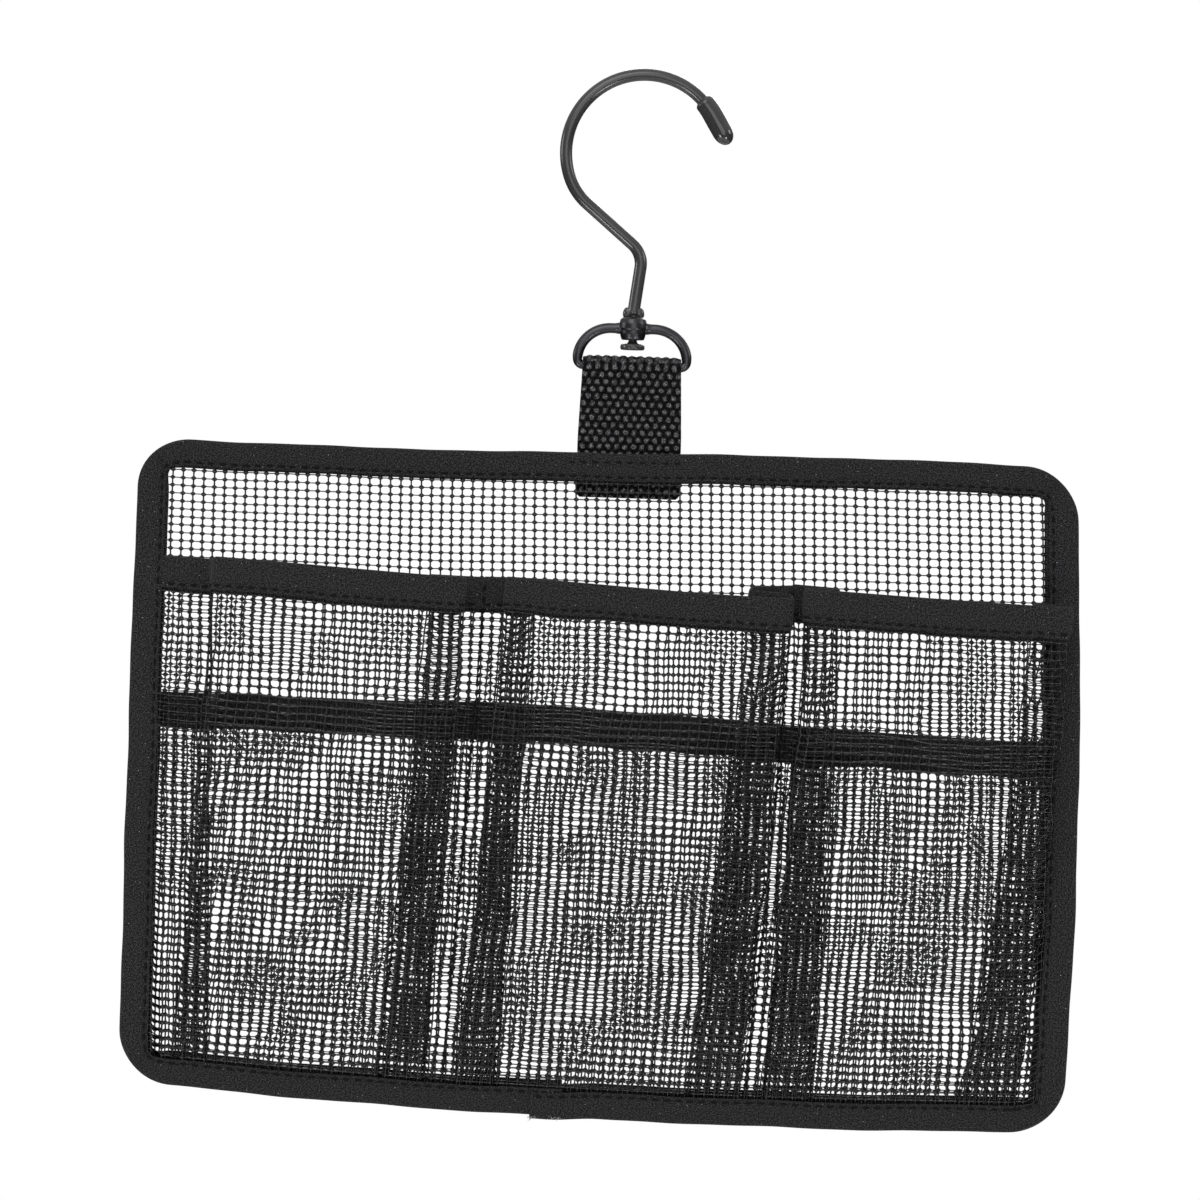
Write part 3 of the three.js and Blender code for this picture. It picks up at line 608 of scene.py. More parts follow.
def net_mesh(place, columns, rows, kept=None, turned=False):
    """Points and faces of a net. place(u, v, h) gives the frame's point at a column, row and height."""
    a, b = upright_half / column_pitch, level_half / row_pitch
    ca, cb = a + corner_across / column_pitch, b + corner_down / row_pitch
    kept = np.ones((rows, columns), bool) if kept is None else kept
    u = np.arange(columns + 1)
    crossings = np.array([[place(u, j, h) for j in range(rows + 1)] for h in (ridge, -ridge)])
    # The corners of a cell's hole, clockwise from the left of its top edge, as shares of the cell
    hole_corners = ((ca, b), (1 - ca, b), (1 - a, cb), (1 - a, 1 - cb),
                    (1 - ca, 1 - b), (ca, 1 - b), (a, 1 - cb), (a, cb))
    rings = np.zeros((rows, columns, 8, 3))
    for j in range(rows):
        for k, (across, down) in enumerate(hole_corners):
            rings[j, :, k] = place(u[:-1] + across, j + down, 0)
    points = np.concatenate([crossings.reshape(-1, 3), rings.reshape(-1, 3)])

    # On each face four quads and four triangles join a ring to the cell's crossings
    per_side = (rows + 1) * (columns + 1)
    j, i = np.nonzero(kept)
    start = j * (columns + 1) + i
    corners = [start, start + 1, start + columns + 2, start + columns + 1]
    ring = 2 * per_side + (j * columns + i)[:, None] * 8 + np.arange(8)
    faces = []
    for side in (0, 1):
        A, B, C, D = (corner + side * per_side for corner in corners)
        r = ring.T
        quads = [(A, r[0], r[1], B), (B, r[2], r[3], C), (C, r[4], r[5], D), (D, r[6], r[7], A)]
        thirds = [(B, r[1], r[2]), (C, r[3], r[4]), (D, r[5], r[6]), (A, r[7], r[0])]
        for face in quads + thirds:
            order = face if (side == 0) != turned else face[::-1]
            faces += np.stack(order, -1).tolist()
    # A wall closes the rim wherever a cell has no neighbour
    padded = np.pad(kept, 1)
    for one, two, dj, di in ((0, 1, -1, 0), (1, 2, 0, 1), (2, 3, 1, 0), (3, 0, 0, -1)):
        bare = ~padded[j + 1 + dj, i + 1 + di]
        A, B = corners[one][bare], corners[two][bare]
        wall = (A, B, B + per_side, A + per_side)
        faces += np.stack(wall[::-1] if turned else wall, -1).tolist()
    # Points that no face uses are left out, and the rest are numbered again
    used, flat = np.unique(np.concatenate([np.ravel(face) for face in faces]), return_inverse=True)
    splits = np.split(flat, np.cumsum([len(face) for face in faces])[:-1])
    return points[used], [face.tolist() for face in splits]


# %% Back net
net_inset, net_catch = 4.5, 3  # how far its cut edge, and its cut corners, lie inside the binding's fold
net_columns = round((panel_width - 2 * net_inset) / column_pitch)
net_rows = round((panel_height - 2 * net_inset) / row_pitch)


def back_place(u, v, h):
    """A point of the back net, at a column, a row and a height."""
    x = lerp(net_inset, panel_width - net_inset, u / net_columns)
    down = lerp(net_inset, panel_height - net_inset, v / net_rows)
    slip = stray(x, down, (0.22, 90, 1), (0.07, 7, 4))
    sag = stray(x, down, (0.18, 70, 2), (0.05, 6, 5))
    return drawn(x + slip, down + sag, -h + stray(x, down, (0.15, 60, 3)))


def inside_corners(columns, rows):
    """Which cells lie inside the binding's rounded corners."""
    x = lerp(net_inset, panel_width - net_inset, (np.arange(columns) + 0.5) / columns)[None, :]
    down = lerp(net_inset, panel_height - net_inset, (np.arange(rows) + 0.5) / rows)[:, None]
    over_x = np.maximum(panel_corner - np.minimum(x, panel_width - x), 0)
    over_down = np.maximum(panel_corner - np.minimum(down, panel_height - down), 0)
    return np.hypot(over_x, over_down) < panel_corner - net_catch


points, faces = net_mesh(back_place, net_columns, net_rows, inside_corners(net_columns, net_rows))
back_net = dress(sculpt("back_net_cloth", points, faces), vinyl_net, "panel", "coated_net", "back_net")

# %% [markdown]
# ## Pleated pockets
# Each face carries one strip of net, longer than the panel is wide. Its spare length is folded into a
# pleat at each side of each pocket, and the strip is sewn to the back net between pockets. Seen from
# above it runs from a seam in to a fold, back out to a second fold, across the front, and the same way
# back to the next seam. The CAD source has those folds as sharp corners. Here the same line is walked
# in small steps and smoothed, so that the net rolls over each fold.

# %% Measures of the pockets
fit_gap = 0.3  # between a pocket's line and the binding, at its foot and in its lower corners
under_tape = 3.2  # how far the outer ends of a strip run under the binding
pocket_depth, pocket_bow, pleat_depth = 12, 2.4, 17
mouth_wall, low_pitch = 3.2, 0.62  # between the layers of a fold, at the mouth and pressed at the foot
inner_stand, outer_stand = 1.4, 0.95  # a strip's height off the back net, at a seam and at the binding
seam_top, seam_bottom = (0.379, 0.705), (0.34, 0.66)  # shares of the panel's width
front_hems, back_hems = (0.183, 0.192, 0.188, 0.206), (0.393, 0.382, 0.398, 0.417)  # of its height
# How far the front of a mouth hangs lower, at the left and the right of each pocket, in hem heights
front_lips = (-0.16, 0.07), (-0.06, 0.44), (0.12, 0.08)
back_lips = (0, 0.05), (-0.05, 0), (0.05, 0)
# Folds as shares of the pleat depth from the seam: inner and outer at the top, inner and outer below
pleats = (
    ((0.86, 0.93, 1.1, 0.36), (0.99, 0.36, 1.22, 0.22)),
    ((0.94, 0.41, 1.01, 0.18), (0.76, 0.02, 1.12, 0.03)),
    ((0.82, 0.22, 1.27, 0.24), (0.28, -0.37, 1.41, 0.26)),
)


def seam_at(k, down):
    """Where seam k lies across the flat panel; the first and the last are its two sides."""
    if k == 0:
        return binding_width - under_tape
    if k > len(seam_top):
        return panel_width - binding_width + under_tape
    return panel_width * lerp(seam_top[k - 1], seam_bottom[k - 1], down / panel_height)


def foot_at(x):
    """How far down a pocket reaches at x, inside the binding's rounded lower corners."""
    radius = inner_corner - fit_gap
    from_side = np.minimum(x, panel_width - x) - binding_width - fit_gap
    into = np.clip(radius - from_side, 0, radius)
    return inner_bottom - fit_gap - (radius - np.sqrt(radius ** 2 - into ** 2))


print("seams at", [round(seam_at(k, 0)) for k in range(4)], "mm across the top")

# %% Folded line of a pocket
line_step, least_steps = 0.4, 60
fold_reach, fold_round = 7, 2.6  # both in steps of the line
lie_down = 9  # the front leg comes down to the back net over this length


def fold_corners(k, mouths, share):
    """The corners of a pocket's line, as x and stand-off from the back net."""
    share = np.clip(share, 0, 1)
    downs = [lerp(mouth, inner_bottom, share) for mouth in mouths]
    wall = lerp(mouth_wall, low_pitch, share)
    front = lerp(pocket_depth, 3 * low_pitch, share)
    ends = []
    for place, direction, folds in ((0, 1, pleats[k][0]), (1, -1, pleats[k][1])):
        outermost = k + place in (0, len(seam_top) + 1)
        seam_stand = lerp(outer_stand if outermost else inner_stand, low_pitch, share)
        slant = (front - seam_stand - 2 * wall) / 2
        seam = seam_at(k + place, downs[place])
        spare = under_tape if outermost else 0
        inner = seam + direction * (lerp(folds[0], folds[2], share) * pleat_depth + spare)
        outer = seam + direction * (lerp(folds[1], folds[3], share) * pleat_depth + spare)
        ends.append([(seam, seam_stand), (inner, seam_stand + slant),
                     (inner, seam_stand + slant + wall), (outer, front - wall), (outer, front)])
    return np.array(ends[0] + ends[1][::-1])


def folded_line(k, mouths, share):
    """A pocket's line in small steps, rounded at its folds."""
    corners = fold_corners(k, mouths, share)
    length = arc_lengths(corners)
    at = np.linspace(0, length[-1], max(least_steps, round(length[-1] / line_step)))
    x, y = points_along(corners, at).T
    # The front leg bows out at the mouth, and lies down on the back net between the pleats at the foot
    low = np.clip(share, 0, 1)
    run = length[5] - length[4]
    over = np.clip((at - length[4]) / run, 0, 1)
    y += 4 * pocket_bow * (1 - low) * over * (1 - over)
    between_pleats = ease(over * run / lie_down) * ease((1 - over) * run / lie_down)
    y -= 2 * low_pitch * ease(low * 1.5 - 0.5) * between_pleats
    weights = np.exp(-0.5 * (np.arange(-fold_reach, fold_reach + 1) / fold_round) ** 2)
    weights /= weights.sum()
    smooth = [np.convolve(np.pad(c, fold_reach, "reflect", reflect_type="odd"), weights, "valid")
              for c in (x, y)]
    return np.stack(smooth, -1)


print("corners of a pocket's line:", len(fold_corners(1, (40, 40), 0)))

# %% Pockets


class Pocket:
    """Pocket k on the front (side -1) or the back (side 1) of the panel."""

    def __init__(self, k, side):
        hems, lips = (front_hems, front_lips) if side < 0 else (back_hems, back_lips)
        self.k, self.side, self.lips = k, side, lips[k]
        self.mouths = [hems[k] * panel_height, hems[k + 1] * panel_height]
        self.height = inner_bottom - fit_gap - sum(self.mouths) / 2
        self.drift = 0.6 if side < 0 else 0.9  # how far the waves in its cloth take a strand
        # How many rows the seam legs and the middle legs of its folds lie lower
        self.crossed = (0.3, 0.55) if side < 0 else (0.15, 0.4)
        lengths = [arc_lengths(folded_line(k, self.mouths, share))[-1] for share in (0, 0.5, 1)]
        self.length = sum(lengths) / 3
        self.foot_line = folded_line(k, self.mouths, 1)

    def turned_rows(self, here, share_down, length):
        """How far a slanting fold turns down the rows of the legs behind it, at places along a line."""
        marks = arc_lengths(fold_corners(self.k, self.mouths, share_down))
        marks *= length / marks[-1]
        left_leg, right_leg = marks[3] - marks[2], marks[7] - marks[6]
        middle_legs = bump(here, marks[2], marks[3]) + bump(here, marks[6], marks[7])
        seam_legs = (bump(here, marks[1] - left_leg, marks[1])
                     + bump(here, marks[8], marks[8] + right_leg))
        return row_pitch * (self.crossed[0] * seam_legs + self.crossed[1] * middle_legs)

    def at(self, share_along, share_down, height):
        """Points of the strip, by shares along it and down it, and a height off its middle."""
        line = folded_line(self.k, self.mouths, share_down)
        length = arc_lengths(line)
        here = share_along * length[-1]
        x, y, dx, dy = (np.interp(here, length, c) for c in (*line.T, *headings(line).T))
        size = np.hypot(dx, dy)
        foot_length = arc_lengths(self.foot_line)
        foot_x = np.interp(share_along * foot_length[-1], foot_length, self.foot_line[:, 0])
        from_left = np.clip((x - line[0, 0]) / (line[-1, 0] - line[0, 0]), 0, 1)
        lip = lerp(*self.lips, from_left) * hem_height
        mouth = lerp(*self.mouths, from_left) + lip * y / pocket_depth
        down = lerp(mouth, foot_at(foot_x), share_down)
        # Away from hem, foot and seams the cloth billows, and its strands stray
        loose = ease(share_down * 4) * ease((1 - share_down) * 4) * ease(y / 3)
        seed = 11 + self.k + 3 * self.side
        y = y + loose * stray(x, down, (0.9, 65, seed))
        y, x = y + height * dx / size, x - height * dy / size
        slip = loose * stray(x, down, (self.drift, 58, seed + 1), (0.1, 7, seed + 2))
        sag = loose * stray(x, down, (self.drift, 50, seed + 3), (0.08, 6, seed + 4))
        # Each leg of a fold is also a little out of step with the next
        free = ease(share_down * 8) * ease((1 - share_down) * 12)
        slip = slip + free * stray(here, down, (0.5, 26, seed + 5))
        sag = sag + free * stray(here, down, (0.55, 30, seed + 6))
        # Rows turned by a fold cross those in front
        sag = sag + free * self.turned_rows(here, share_down, length[-1])
        return drawn(x + slip, down + sag, self.side * y)


pockets = {(face, place): Pocket(k, side)
           for face, side in (("front", -1), ("back", 1))
           for k, place in enumerate(("left", "centre", "right"))}
for (face, place), pocket in pockets.items():
    print(f"{face} {place}: strip {pocket.length:.0f} mm along, {pocket.height:.0f} mm down")

# %% [markdown]
# The strips are eased in as they are sewn, so that their columns lie closer than those of the back net.
# Where the nets lie over each other, the two pitches beat, and broad pale and dark patches show.

# %% Pocket nets
front_tuck, back_tuck = 3.15, 2.4  # how far the foot of a strip runs under the binding
net_start = 1.2  # the net starts this far below the fold of its hem
# How many columns are eased into a pitch of the strip, for each pocket from the left
fullness = {"front": (1.02, 1.06, 1.14), "back": (1.16, 1.12, 1.2)}


def pocket_net(face, place):
    """The net of one pocket, as a sheet that rests on the back net."""
    pocket = pockets[face, place]
    tuck = front_tuck if pocket.side < 0 else back_tuck
    columns = round(fullness[face][pocket.k] * pocket.length / column_pitch)
    top, foot = net_start / pocket.height, 1 + tuck / pocket.height
    rows = round((foot - top) * pocket.height / row_pitch)

    def spot(u, v, h):
        return pocket.at(u / columns, lerp(top, foot, v / rows), h)

    points, faces = net_mesh(spot, columns, rows, turned=pocket.side > 0)
    name = f"{face}_pocket_cloth_{place}"
    node = f"{face}_pocket_net_{place}"
    cloth = dress(sculpt(name, points, faces), vinyl_net, "panel", "coated_net", node)


for face, place in pockets:
    pocket_net(face, place)

# %% [markdown]
# ## Woven tape
# Binding and hems are the same polyester tape, woven plain and fine, dyed black and left matte. Its
# threads are about 0.35 mm apart, which is under a pixel, so they are drawn about 0.55 mm apart, with
# slubs of about that size that catch the light. A little sheen stands for the fuzz of the yarn.

# %% Finish of the tape
woven_tape, tree, shader = new_finish("woven_polyester_tape")
threads = add(tree, "Attribute", attribute_name="weave").outputs["Vector"]
uneven = {"Vector": threads, "Distortion": 1.5, "Detail": 2.0, "Detail Scale": 2.0}
warp = add(tree, "TexWave", {"Scale": 0.55, **uneven}, bands_direction="X")
weft = add(tree, "TexWave", {"Scale": 0.62, **uneven}, bands_direction="Y")
crossed = add(tree, "Math", {0: warp.outputs["Fac"], 1: weft.outputs["Fac"]}, operation="MULTIPLY")
slub = add(tree, "TexNoise", {"Vector": threads, "Scale": 2.1, "Detail": 1.0, "Roughness": 0.6})
rough_yarn = add(tree, "MapRange", {"Value": slub, "From Min": 0.4, "From Max": 0.64})
woven = add(tree, "MapRange", {"Value": crossed, "To Min": 0.6, "To Max": 1.1})
grainy = add(tree, "Math", {0: rough_yarn, 1: woven}, operation="MULTIPLY")
# Here and there a broken filament stands up, and its glint is a painted highlight: a pale speck in the
# colour
glint_tufts = add(tree, "TexVoronoi", {"Vector": threads, "Scale": 0.7})
pick = add(tree, "SeparateColor", {"Color": glint_tufts.outputs["Color"]})
near = add(tree, "Math", {0: glint_tufts, 1: 0.1}, operation="LESS_THAN")
rare = add(tree, "Math", {0: pick.outputs["Red"], 1: 0.8}, operation="GREATER_THAN")
glint = add(tree, "Math", {0: near, 1: rare}, operation="MULTIPLY")
cloth = add(tree, "MixRGB", {"Fac": grainy, "Color1": "#040405", "Color2": "#404042"})
shade = add(tree, "MixRGB", {"Fac": glint, "Color1": cloth, "Color2": "#8c8c8e"})
yarns_up = add(tree, "Bump", {"Height": grainy, "Distance": 0.26 * mm})
fill_sockets(tree, shader, {"Base Color": shade, "Roughness": 0.85, "Specular IOR Level": 0.18,
                            "Sheen Weight": 0.04, "Sheen Roughness": 0.5, "Normal": yarns_up})
print("finish:", woven_tape.name)

# %% [markdown]
# ## Folded tape
# A tape folded over an edge is one outline swept along that edge: out over the front leaf, round the
# fold, over the back leaf, then in through the slot that holds the net. Its stitch line pulls a shallow
# groove into both leaves.

# %% Section of a folded tape
leaf = 0.42  # how far the slot for the net starts inside the fold
across_tape = np.array([1.0, 0.985, 0.955, 0.9, 0.855, 0.81, 0.7, 0.52, 0.34, 0.2, 0.1, 0.045,
                        0.012, 0])
stand_tape = np.array([0.6, 0.8, 0.86, 0.82, 0.6, 0.84, 0.96, 1.0, 1.0, 0.97, 0.84, 0.64, 0.36, 0])
groove_share, groove_stand = 0.855, 0.6  # where the stitch line lies, and how far out


def tape_outline(width, half, slot):
    """The outline of a folded tape as distances from its fold and stand-offs, its slot last."""
    front = np.stack([across_tape * width, stand_tape * half], -1)
    back = front[::-1][1:] * [1, -1]
    end, middle = 0.985 * width, 0.5 * width
    inner = [(end, -slot), (middle, -slot), (leaf, -slot), (leaf, slot), (middle, slot), (end, slot)]
    return np.concatenate([front, back, inner])


def weave_of(rings, outline):
    """Millimetres along and across a tape at each point of its rings."""
    middle = rings[:, len(across_tape) // 2]
    along = arc_lengths(middle)[:, None]
    across = arc_lengths(outline)[None, :]
    along, across = np.broadcast_arrays(along, across)
    return np.stack([along, across, 0 * along], -1).reshape(-1, 3)


print("points round a folded tape:", len(tape_outline(10, 1, 0.3)))

# %% Hems
hem_half, hem_slot, hem_puff, inner_leaf = 0.78, 0.33, 0.1, 1.1
hem_spacing = 0.8


def hem_tape(face, place):
    """The hem of one pocket: tape folded over the top edge of its net."""
    pocket = pockets[face, place]
    outline = tape_outline(hem_height, hem_half, hem_slot)
    stations = np.linspace(0, 1, round(pocket.length / hem_spacing))
    puff = 1 + hem_puff * ripple(stations * pocket.length, 0 * stations, 34, 21 + pocket.k)
    # The inner leaf is the wider one, and shows below the outer leaf
    rings = np.stack([pocket.at(stations, d * (inner_leaf if h < 0 else 1) / pocket.height, h * puff)
                      for d, h in outline], 1)
    made = sculpt(f"{face}_hem_tape_{place}", *skin(rings), weave=weave_of(rings, outline))
    dress(face_out(made), woven_tape, "panel", "tape", f"{face}_hem_{place}")


for face, place in pockets:
    hem_tape(face, place)

# %% [markdown]
# ## Edge binding
# One tape runs clockwise all round the panel. It starts at the bottom edge, and its end laps over its
# start there, a little lower and proud of it. Where pocket strips are caught under it, its leaves stand
# further apart, and round each corner its inner edge puckers.

# %% Edge of the panel


def corner_inset(angle):
    """How far in from the fold the open edges of the tape lie, at an angle round a corner."""
    half = panel_corner - binding_width
    flat = half - inner_corner
    to_side = np.minimum(angle, quarter - angle)
    run, rise = np.cos(to_side), np.sin(to_side)
    spare = np.maximum(inner_corner ** 2 - flat ** 2 * (1 - 2 * run * rise), 0)
    reach = np.where(half * rise <= flat * run, half / run, flat * (run + rise) + np.sqrt(spare))
    return panel_corner - reach


def panel_edge(spacing=1.2):
    """Points clockwise round the flat panel's edge, their way in, widths of tape and corner shares."""
    r = panel_corner
    corners = ((panel_width - r, r, -90), (panel_width - r, panel_height - r, 0),
               (r, panel_height - r, 90), (r, r, 180))
    places, inward, widths, bends = [], [], [], []
    for k, (x, down, start) in enumerate(corners):
        turn = np.radians(np.linspace(start, start + 90, round(r * quarter / spacing) + 1))
        way = np.stack([-np.cos(turn), -np.sin(turn)], -1)
        places.append([x, down] - r * way)
        inward.append(way)
        widths.append(corner_inset(np.linspace(0, quarter, len(turn))))
        bends.append(np.sin(np.linspace(0, math.pi, len(turn))))
        far_x, far_down, _ = corners[(k + 1) % 4]
        far = np.array([far_x, far_down]) - r * way[-1]
        count = round(np.linalg.norm(far - places[-1][-1]) / spacing)
        share = np.arange(1, count)[:, None] / count
        places.append(lerp(places[-1][-1], far, share))
        inward.append(np.repeat(way[-1:], count - 1, 0))
        widths.append(np.full(count - 1, binding_width))
        bends.append(np.zeros(count - 1))
    return [np.concatenate(rows) for rows in (places, inward, widths, bends)]


edge_points, edge_inward, edge_width, edge_bend = panel_edge()


def by_side(left, right, top, foot):
    """A length for each side of the panel, blended round the corners."""
    across, fall = edge_inward.T
    return (left * np.maximum(across, 0) ** 2 + right * np.maximum(-across, 0) ** 2
            + top * np.maximum(fall, 0) ** 2 + foot * np.maximum(-fall, 0) ** 2)


lap_start, lap_end = 136, 127  # where the tape starts and ends on the bottom edge, from the left
first = np.argmin(np.hypot(edge_points[:, 0] - lap_start, edge_points[:, 1] - panel_height))
last = np.argmin(np.hypot(edge_points[:, 0] - lap_end, edge_points[:, 1] - panel_height))
order = np.arange(first, last + len(edge_points) + 1) % len(edge_points)
edge_points, edge_inward = edge_points[order], edge_inward[order]
edge_width, edge_bend = edge_width[order], edge_bend[order]
# Sewn by eye, the front leaf is the narrower one, so that the back leaf shows through the net beside it
leaf_widths = {-1: edge_width - by_side(0.7, 0.4, 1.1, 1.3),
               1: edge_width + by_side(0.1, 1.0, -0.5, 1.3)}
edge_run = arc_lengths(edge_points)
print(f"binding: {edge_run[-1]:.0f} mm of tape")

# %% Leaves of the binding
strip_lift, hem_lift, pleat_lift = 0.75, 0.6, 0.75  # how far each holds a leaf off the net
mouth_blend, hem_reach, foot_blend, pleat_reach = 5, 6, 6, 11  # the lengths over which it does
lap_length, lap_blend, lap_drop, lap_proud = 22, 16, 1.1, 0.5
end_length, end_blend = 10.5, 2  # the last part of the tape, which lies on its start
start_length, start_rise, least_stand = 40, 0.35, 0.3
pucker_rise, pucker_pitch, mitre_depth, mitre_start = 0.3, 4.1, 0.7, 0.985


def caught(side, points):
    """How far pocket strips hold the leaves of the binding apart, in millimetres."""
    hems = front_hems if side < 0 else back_hems
    mouth = panel_height * np.interp(points[:, 0], np.linspace(0, panel_width, 4), hems)
    below = ease((points[:, 1] - mouth + 3) / mouth_blend)
    lift = below * (strip_lift + hem_lift * hill(points[:, 1], mouth + 5, hem_reach, 4))
    at_foot = ease((points[:, 1] - inner_bottom) / foot_blend)
    for k in (1, 2):
        seam = seam_at(k, panel_height)
        for place, folds in ((-1, pleats[k - 1][1]), (1, pleats[k][0])):
            middle = seam + place * pleat_depth * (folds[2] + folds[3]) / 2
            lift += at_foot * pleat_lift * hill(points[:, 0], middle, pleat_reach, 4)
    return lift


def on_binding(inset, stand, side):
    """Frame points all along the binding, at a distance in from the fold and a height off its middle."""
    share = inset / binding_width
    to_end = edge_run[-1] - edge_run
    lap = ease((lap_length - to_end) / lap_blend)
    over = ease((end_length - to_end) / end_blend)
    drop = lap_drop * lap - start_rise * (1 - ease(edge_run / start_length))
    wave = stray(edge_run, 0 * edge_run, (0.28, 46, 31))
    places = edge_points + edge_inward * (share * leaf_widths[side] - drop + wave)[:, None]
    y = stand * (1 + stray(edge_run, 0 * edge_run + inset, (0.08, 28, 33)))
    if stand:
        wrinkle = np.sin(edge_run * 2 * math.pi / pucker_pitch)
        pucker = pucker_rise * edge_bend * wrinkle * ease(share - 0.2)
        at_mitre = np.maximum(edge_bend - mitre_start, 0) / (1 - mitre_start)
        y = y + caught(side, edge_points) * ease(share) + pucker
        y = y - mitre_depth * at_mitre * ease(3 * share) + lap_proud * over * ease(stand / 0.4)
    return drawn(places[:, 0], places[:, 1], side * np.maximum(y, least_stand * min(stand, 1)))


print(f"front pockets hold the tape up to {caught(-1, edge_points).max():.1f} mm off the net")

# %% Edge binding
binding_half, binding_slot = 0.98, 0.36
outline = tape_outline(binding_width, binding_half, binding_slot)
rings = np.stack([on_binding(d, abs(h), -1 if h > 0 else 1) for d, h in outline], 1)
binding = sculpt("edge_binding_tape", *skin(rings), weave=weave_of(rings, outline))
dress(face_out(binding), woven_tape, "panel", "tape", "edge_binding")

# %% [markdown]
# ## Polypropylene webbing
# The strap is 32 mm polypropylene webbing, a heavy weave of flat shiny yarns. From the front it is a
# brick pattern of small humps, about 2.6 mm apart across and 2.25 mm down. The humps are in the
# mesh, as the yarns stand well proud, and their colour carries painted light: painted highlight and
# painted glints on the crowns, and painted shade in the gaps. The filaments in a yarn are finer than a
# pixel, so the material draws them coarser, about 0.6 mm apart.

# %% Finish of the webbing
webbing_yarn, tree, shader = new_finish("polypropylene_webbing")
threads = add(tree, "Attribute", attribute_name="weave").outputs["Vector"]
hump = add(tree, "SeparateXYZ", {"Vector": threads})
filaments = add(tree, "TexWave", {"Vector": threads, "Scale": 0.5, "Distortion": 2.5, "Detail": 3.0,
                                  "Detail Scale": 2.0}, bands_direction="Y")
# Painted light: the hump height mixes a lit crown over a shaded ground, which are painted highlight and
# painted shade, and the fine noise adds painted glints to both
glint_fuzz = add(tree, "TexNoise", {"Vector": threads, "Scale": 2.5, "Detail": 3.0})
bright = add(tree, "MapRange", {"Value": glint_fuzz, "From Min": 0.46, "From Max": 0.66})
lit_crown = add(tree, "MixRGB", {"Fac": bright, "Color1": "#262627", "Color2": "#909094"})
shaded_ground = add(tree, "MixRGB", {"Fac": bright, "Color1": "#060606", "Color2": "#212122"})
raised = add(tree, "MapRange", {"Value": hump.outputs["Z"], "From Min": 0.3, "From Max": 0.95})
shade = add(tree, "MixRGB", {"Fac": raised, "Color1": shaded_ground, "Color2": lit_crown})
gloss = add(tree, "MapRange", {"Value": raised, "To Min": 0.9, "To Max": 0.26})
shine = add(tree, "MapRange", {"Value": raised, "To Min": 0.05, "To Max": 0.5})
strands = add(tree, "Bump", {"Height": filaments.outputs["Fac"], "Distance": 0.2 * mm})
fill_sockets(tree, shader, {"Base Color": shade, "Roughness": gloss, "Specular IOR Level": shine,
                            "IOR": 1.49, "Normal": strands})
print("finish:", webbing_yarn.name)

# %% Line of the webbing
front_leg, back_leg, loop_radius = 2.1, 3.9, 2.45
tail_show, leg_rise, line_spacing = 4.2, 1.5, 0.38
tail_z, leg_top = -strap_drop - binding_width - tail_show, -strap_drop + leg_rise
pull = strap_drop / 3


def bezier(a, b, c, d, count):
    """Points along a curve from a to d that starts towards b and comes in from c."""
    t = np.linspace(0, 1, count)[:, None]
    return ((1 - t) ** 3 * np.array(a) + 3 * (1 - t) ** 2 * t * np.array(b)
            + 3 * (1 - t) * t ** 2 * np.array(c) + t ** 3 * np.array(d))


strap_line = np.concatenate([
    np.linspace((front_leg, tail_z), (front_leg, leg_top), 40)[:-1],
    bezier((front_leg, leg_top), (front_leg, leg_top + pull),
           (-loop_radius, -pull), (-loop_radius, 0), 60)[:-1],
    arc((0, 0), (loop_radius, loop_radius), math.pi, 0, 30)[:-1],
    bezier((loop_radius, 0), (loop_radius, -pull),
           (back_leg, leg_top + pull), (back_leg, leg_top), 60)[:-1],
    np.linspace((back_leg, leg_top), (back_leg, tail_z), 40),
])
strap_length = arc_lengths(strap_line)[-1]
run = np.arange(0, strap_length, line_spacing)
strap_line = points_along(strap_line, run)
along = headings(strap_line)
out = np.stack([-along[:, 1], along[:, 0]], -1)
print(f"{strap_length:.1f} mm of webbing")

# %% Webbing
hump_across, hump_down, hump_rise, hump_ground = 2.62, 2.25, 0.48, 0.38
half_at_bar, half_below, spread_length = 15.15, 15.95, 22
tail_taper, tail_length = 1.2, 1.6
loop_top, loop_reach, loop_half = 1.5, 1.6, 8  # where the ribs are: height, spread, length either way


def humps(s, w, fold):
    """Heights of the woven humps, from 0 to 1; over the bar they stretch to upright ribs."""
    row = np.cos(math.pi * s / hump_down)
    across_row = np.cos(2 * math.pi * w / hump_across)
    brick = ((1 + np.sign(row) * across_row) / 2) ** 0.8 * np.abs(row) ** 0.8
    rib = ((1 + across_row) / 2) ** 0.8
    return np.clip(lerp(brick, rib, 0.6 * fold) + stray(s, w, (0.22, 2.4, 41)), 0, 1)


half = lerp(half_at_bar, half_below, np.clip(-strap_line[:, 1] / spread_length, 0, 1))
half -= tail_taper * np.clip((tail_z + tail_length - strap_line[:, 1]) / tail_length, 0, 1) ** 2
across = np.linspace(-1, 1, 92)
s, w = run[:, None], across[None, :] * half[:, None]
fold = hill(strap_line[:, 1:], loop_top, loop_reach) * (np.abs(s - strap_length / 2) < loop_half)
edge = np.sqrt(np.clip(1 - np.abs(across[None, :]) ** 10, 0, 1))
strap_faces, strap_weaves = [], []
for side in (1, -1):
    height = humps(s + (side < 0) * hump_down, w, fold)
    stand = side * edge * (hump_ground + hump_rise * height)
    y, z = strap_line[:, :1] + out[:, :1] * stand, strap_line[:, 1:] + out[:, 1:] * stand
    strap_faces.append(np.stack([w + 0 * y, y, z], -1) + bar)
    strap_weaves.append(np.stack([s + 0 * w, w, height], -1))
rings = np.concatenate([strap_faces[0], strap_faces[1][:, ::-1]], 1)
weave = np.concatenate([strap_weaves[0], strap_weaves[1][:, ::-1]], 1)
strap = sculpt("webbing_strap", *skin(rings), weave=weave.reshape(-1, 3))
dress(face_out(strap), webbing_yarn, "panel", "webbing", "webbing_loop")
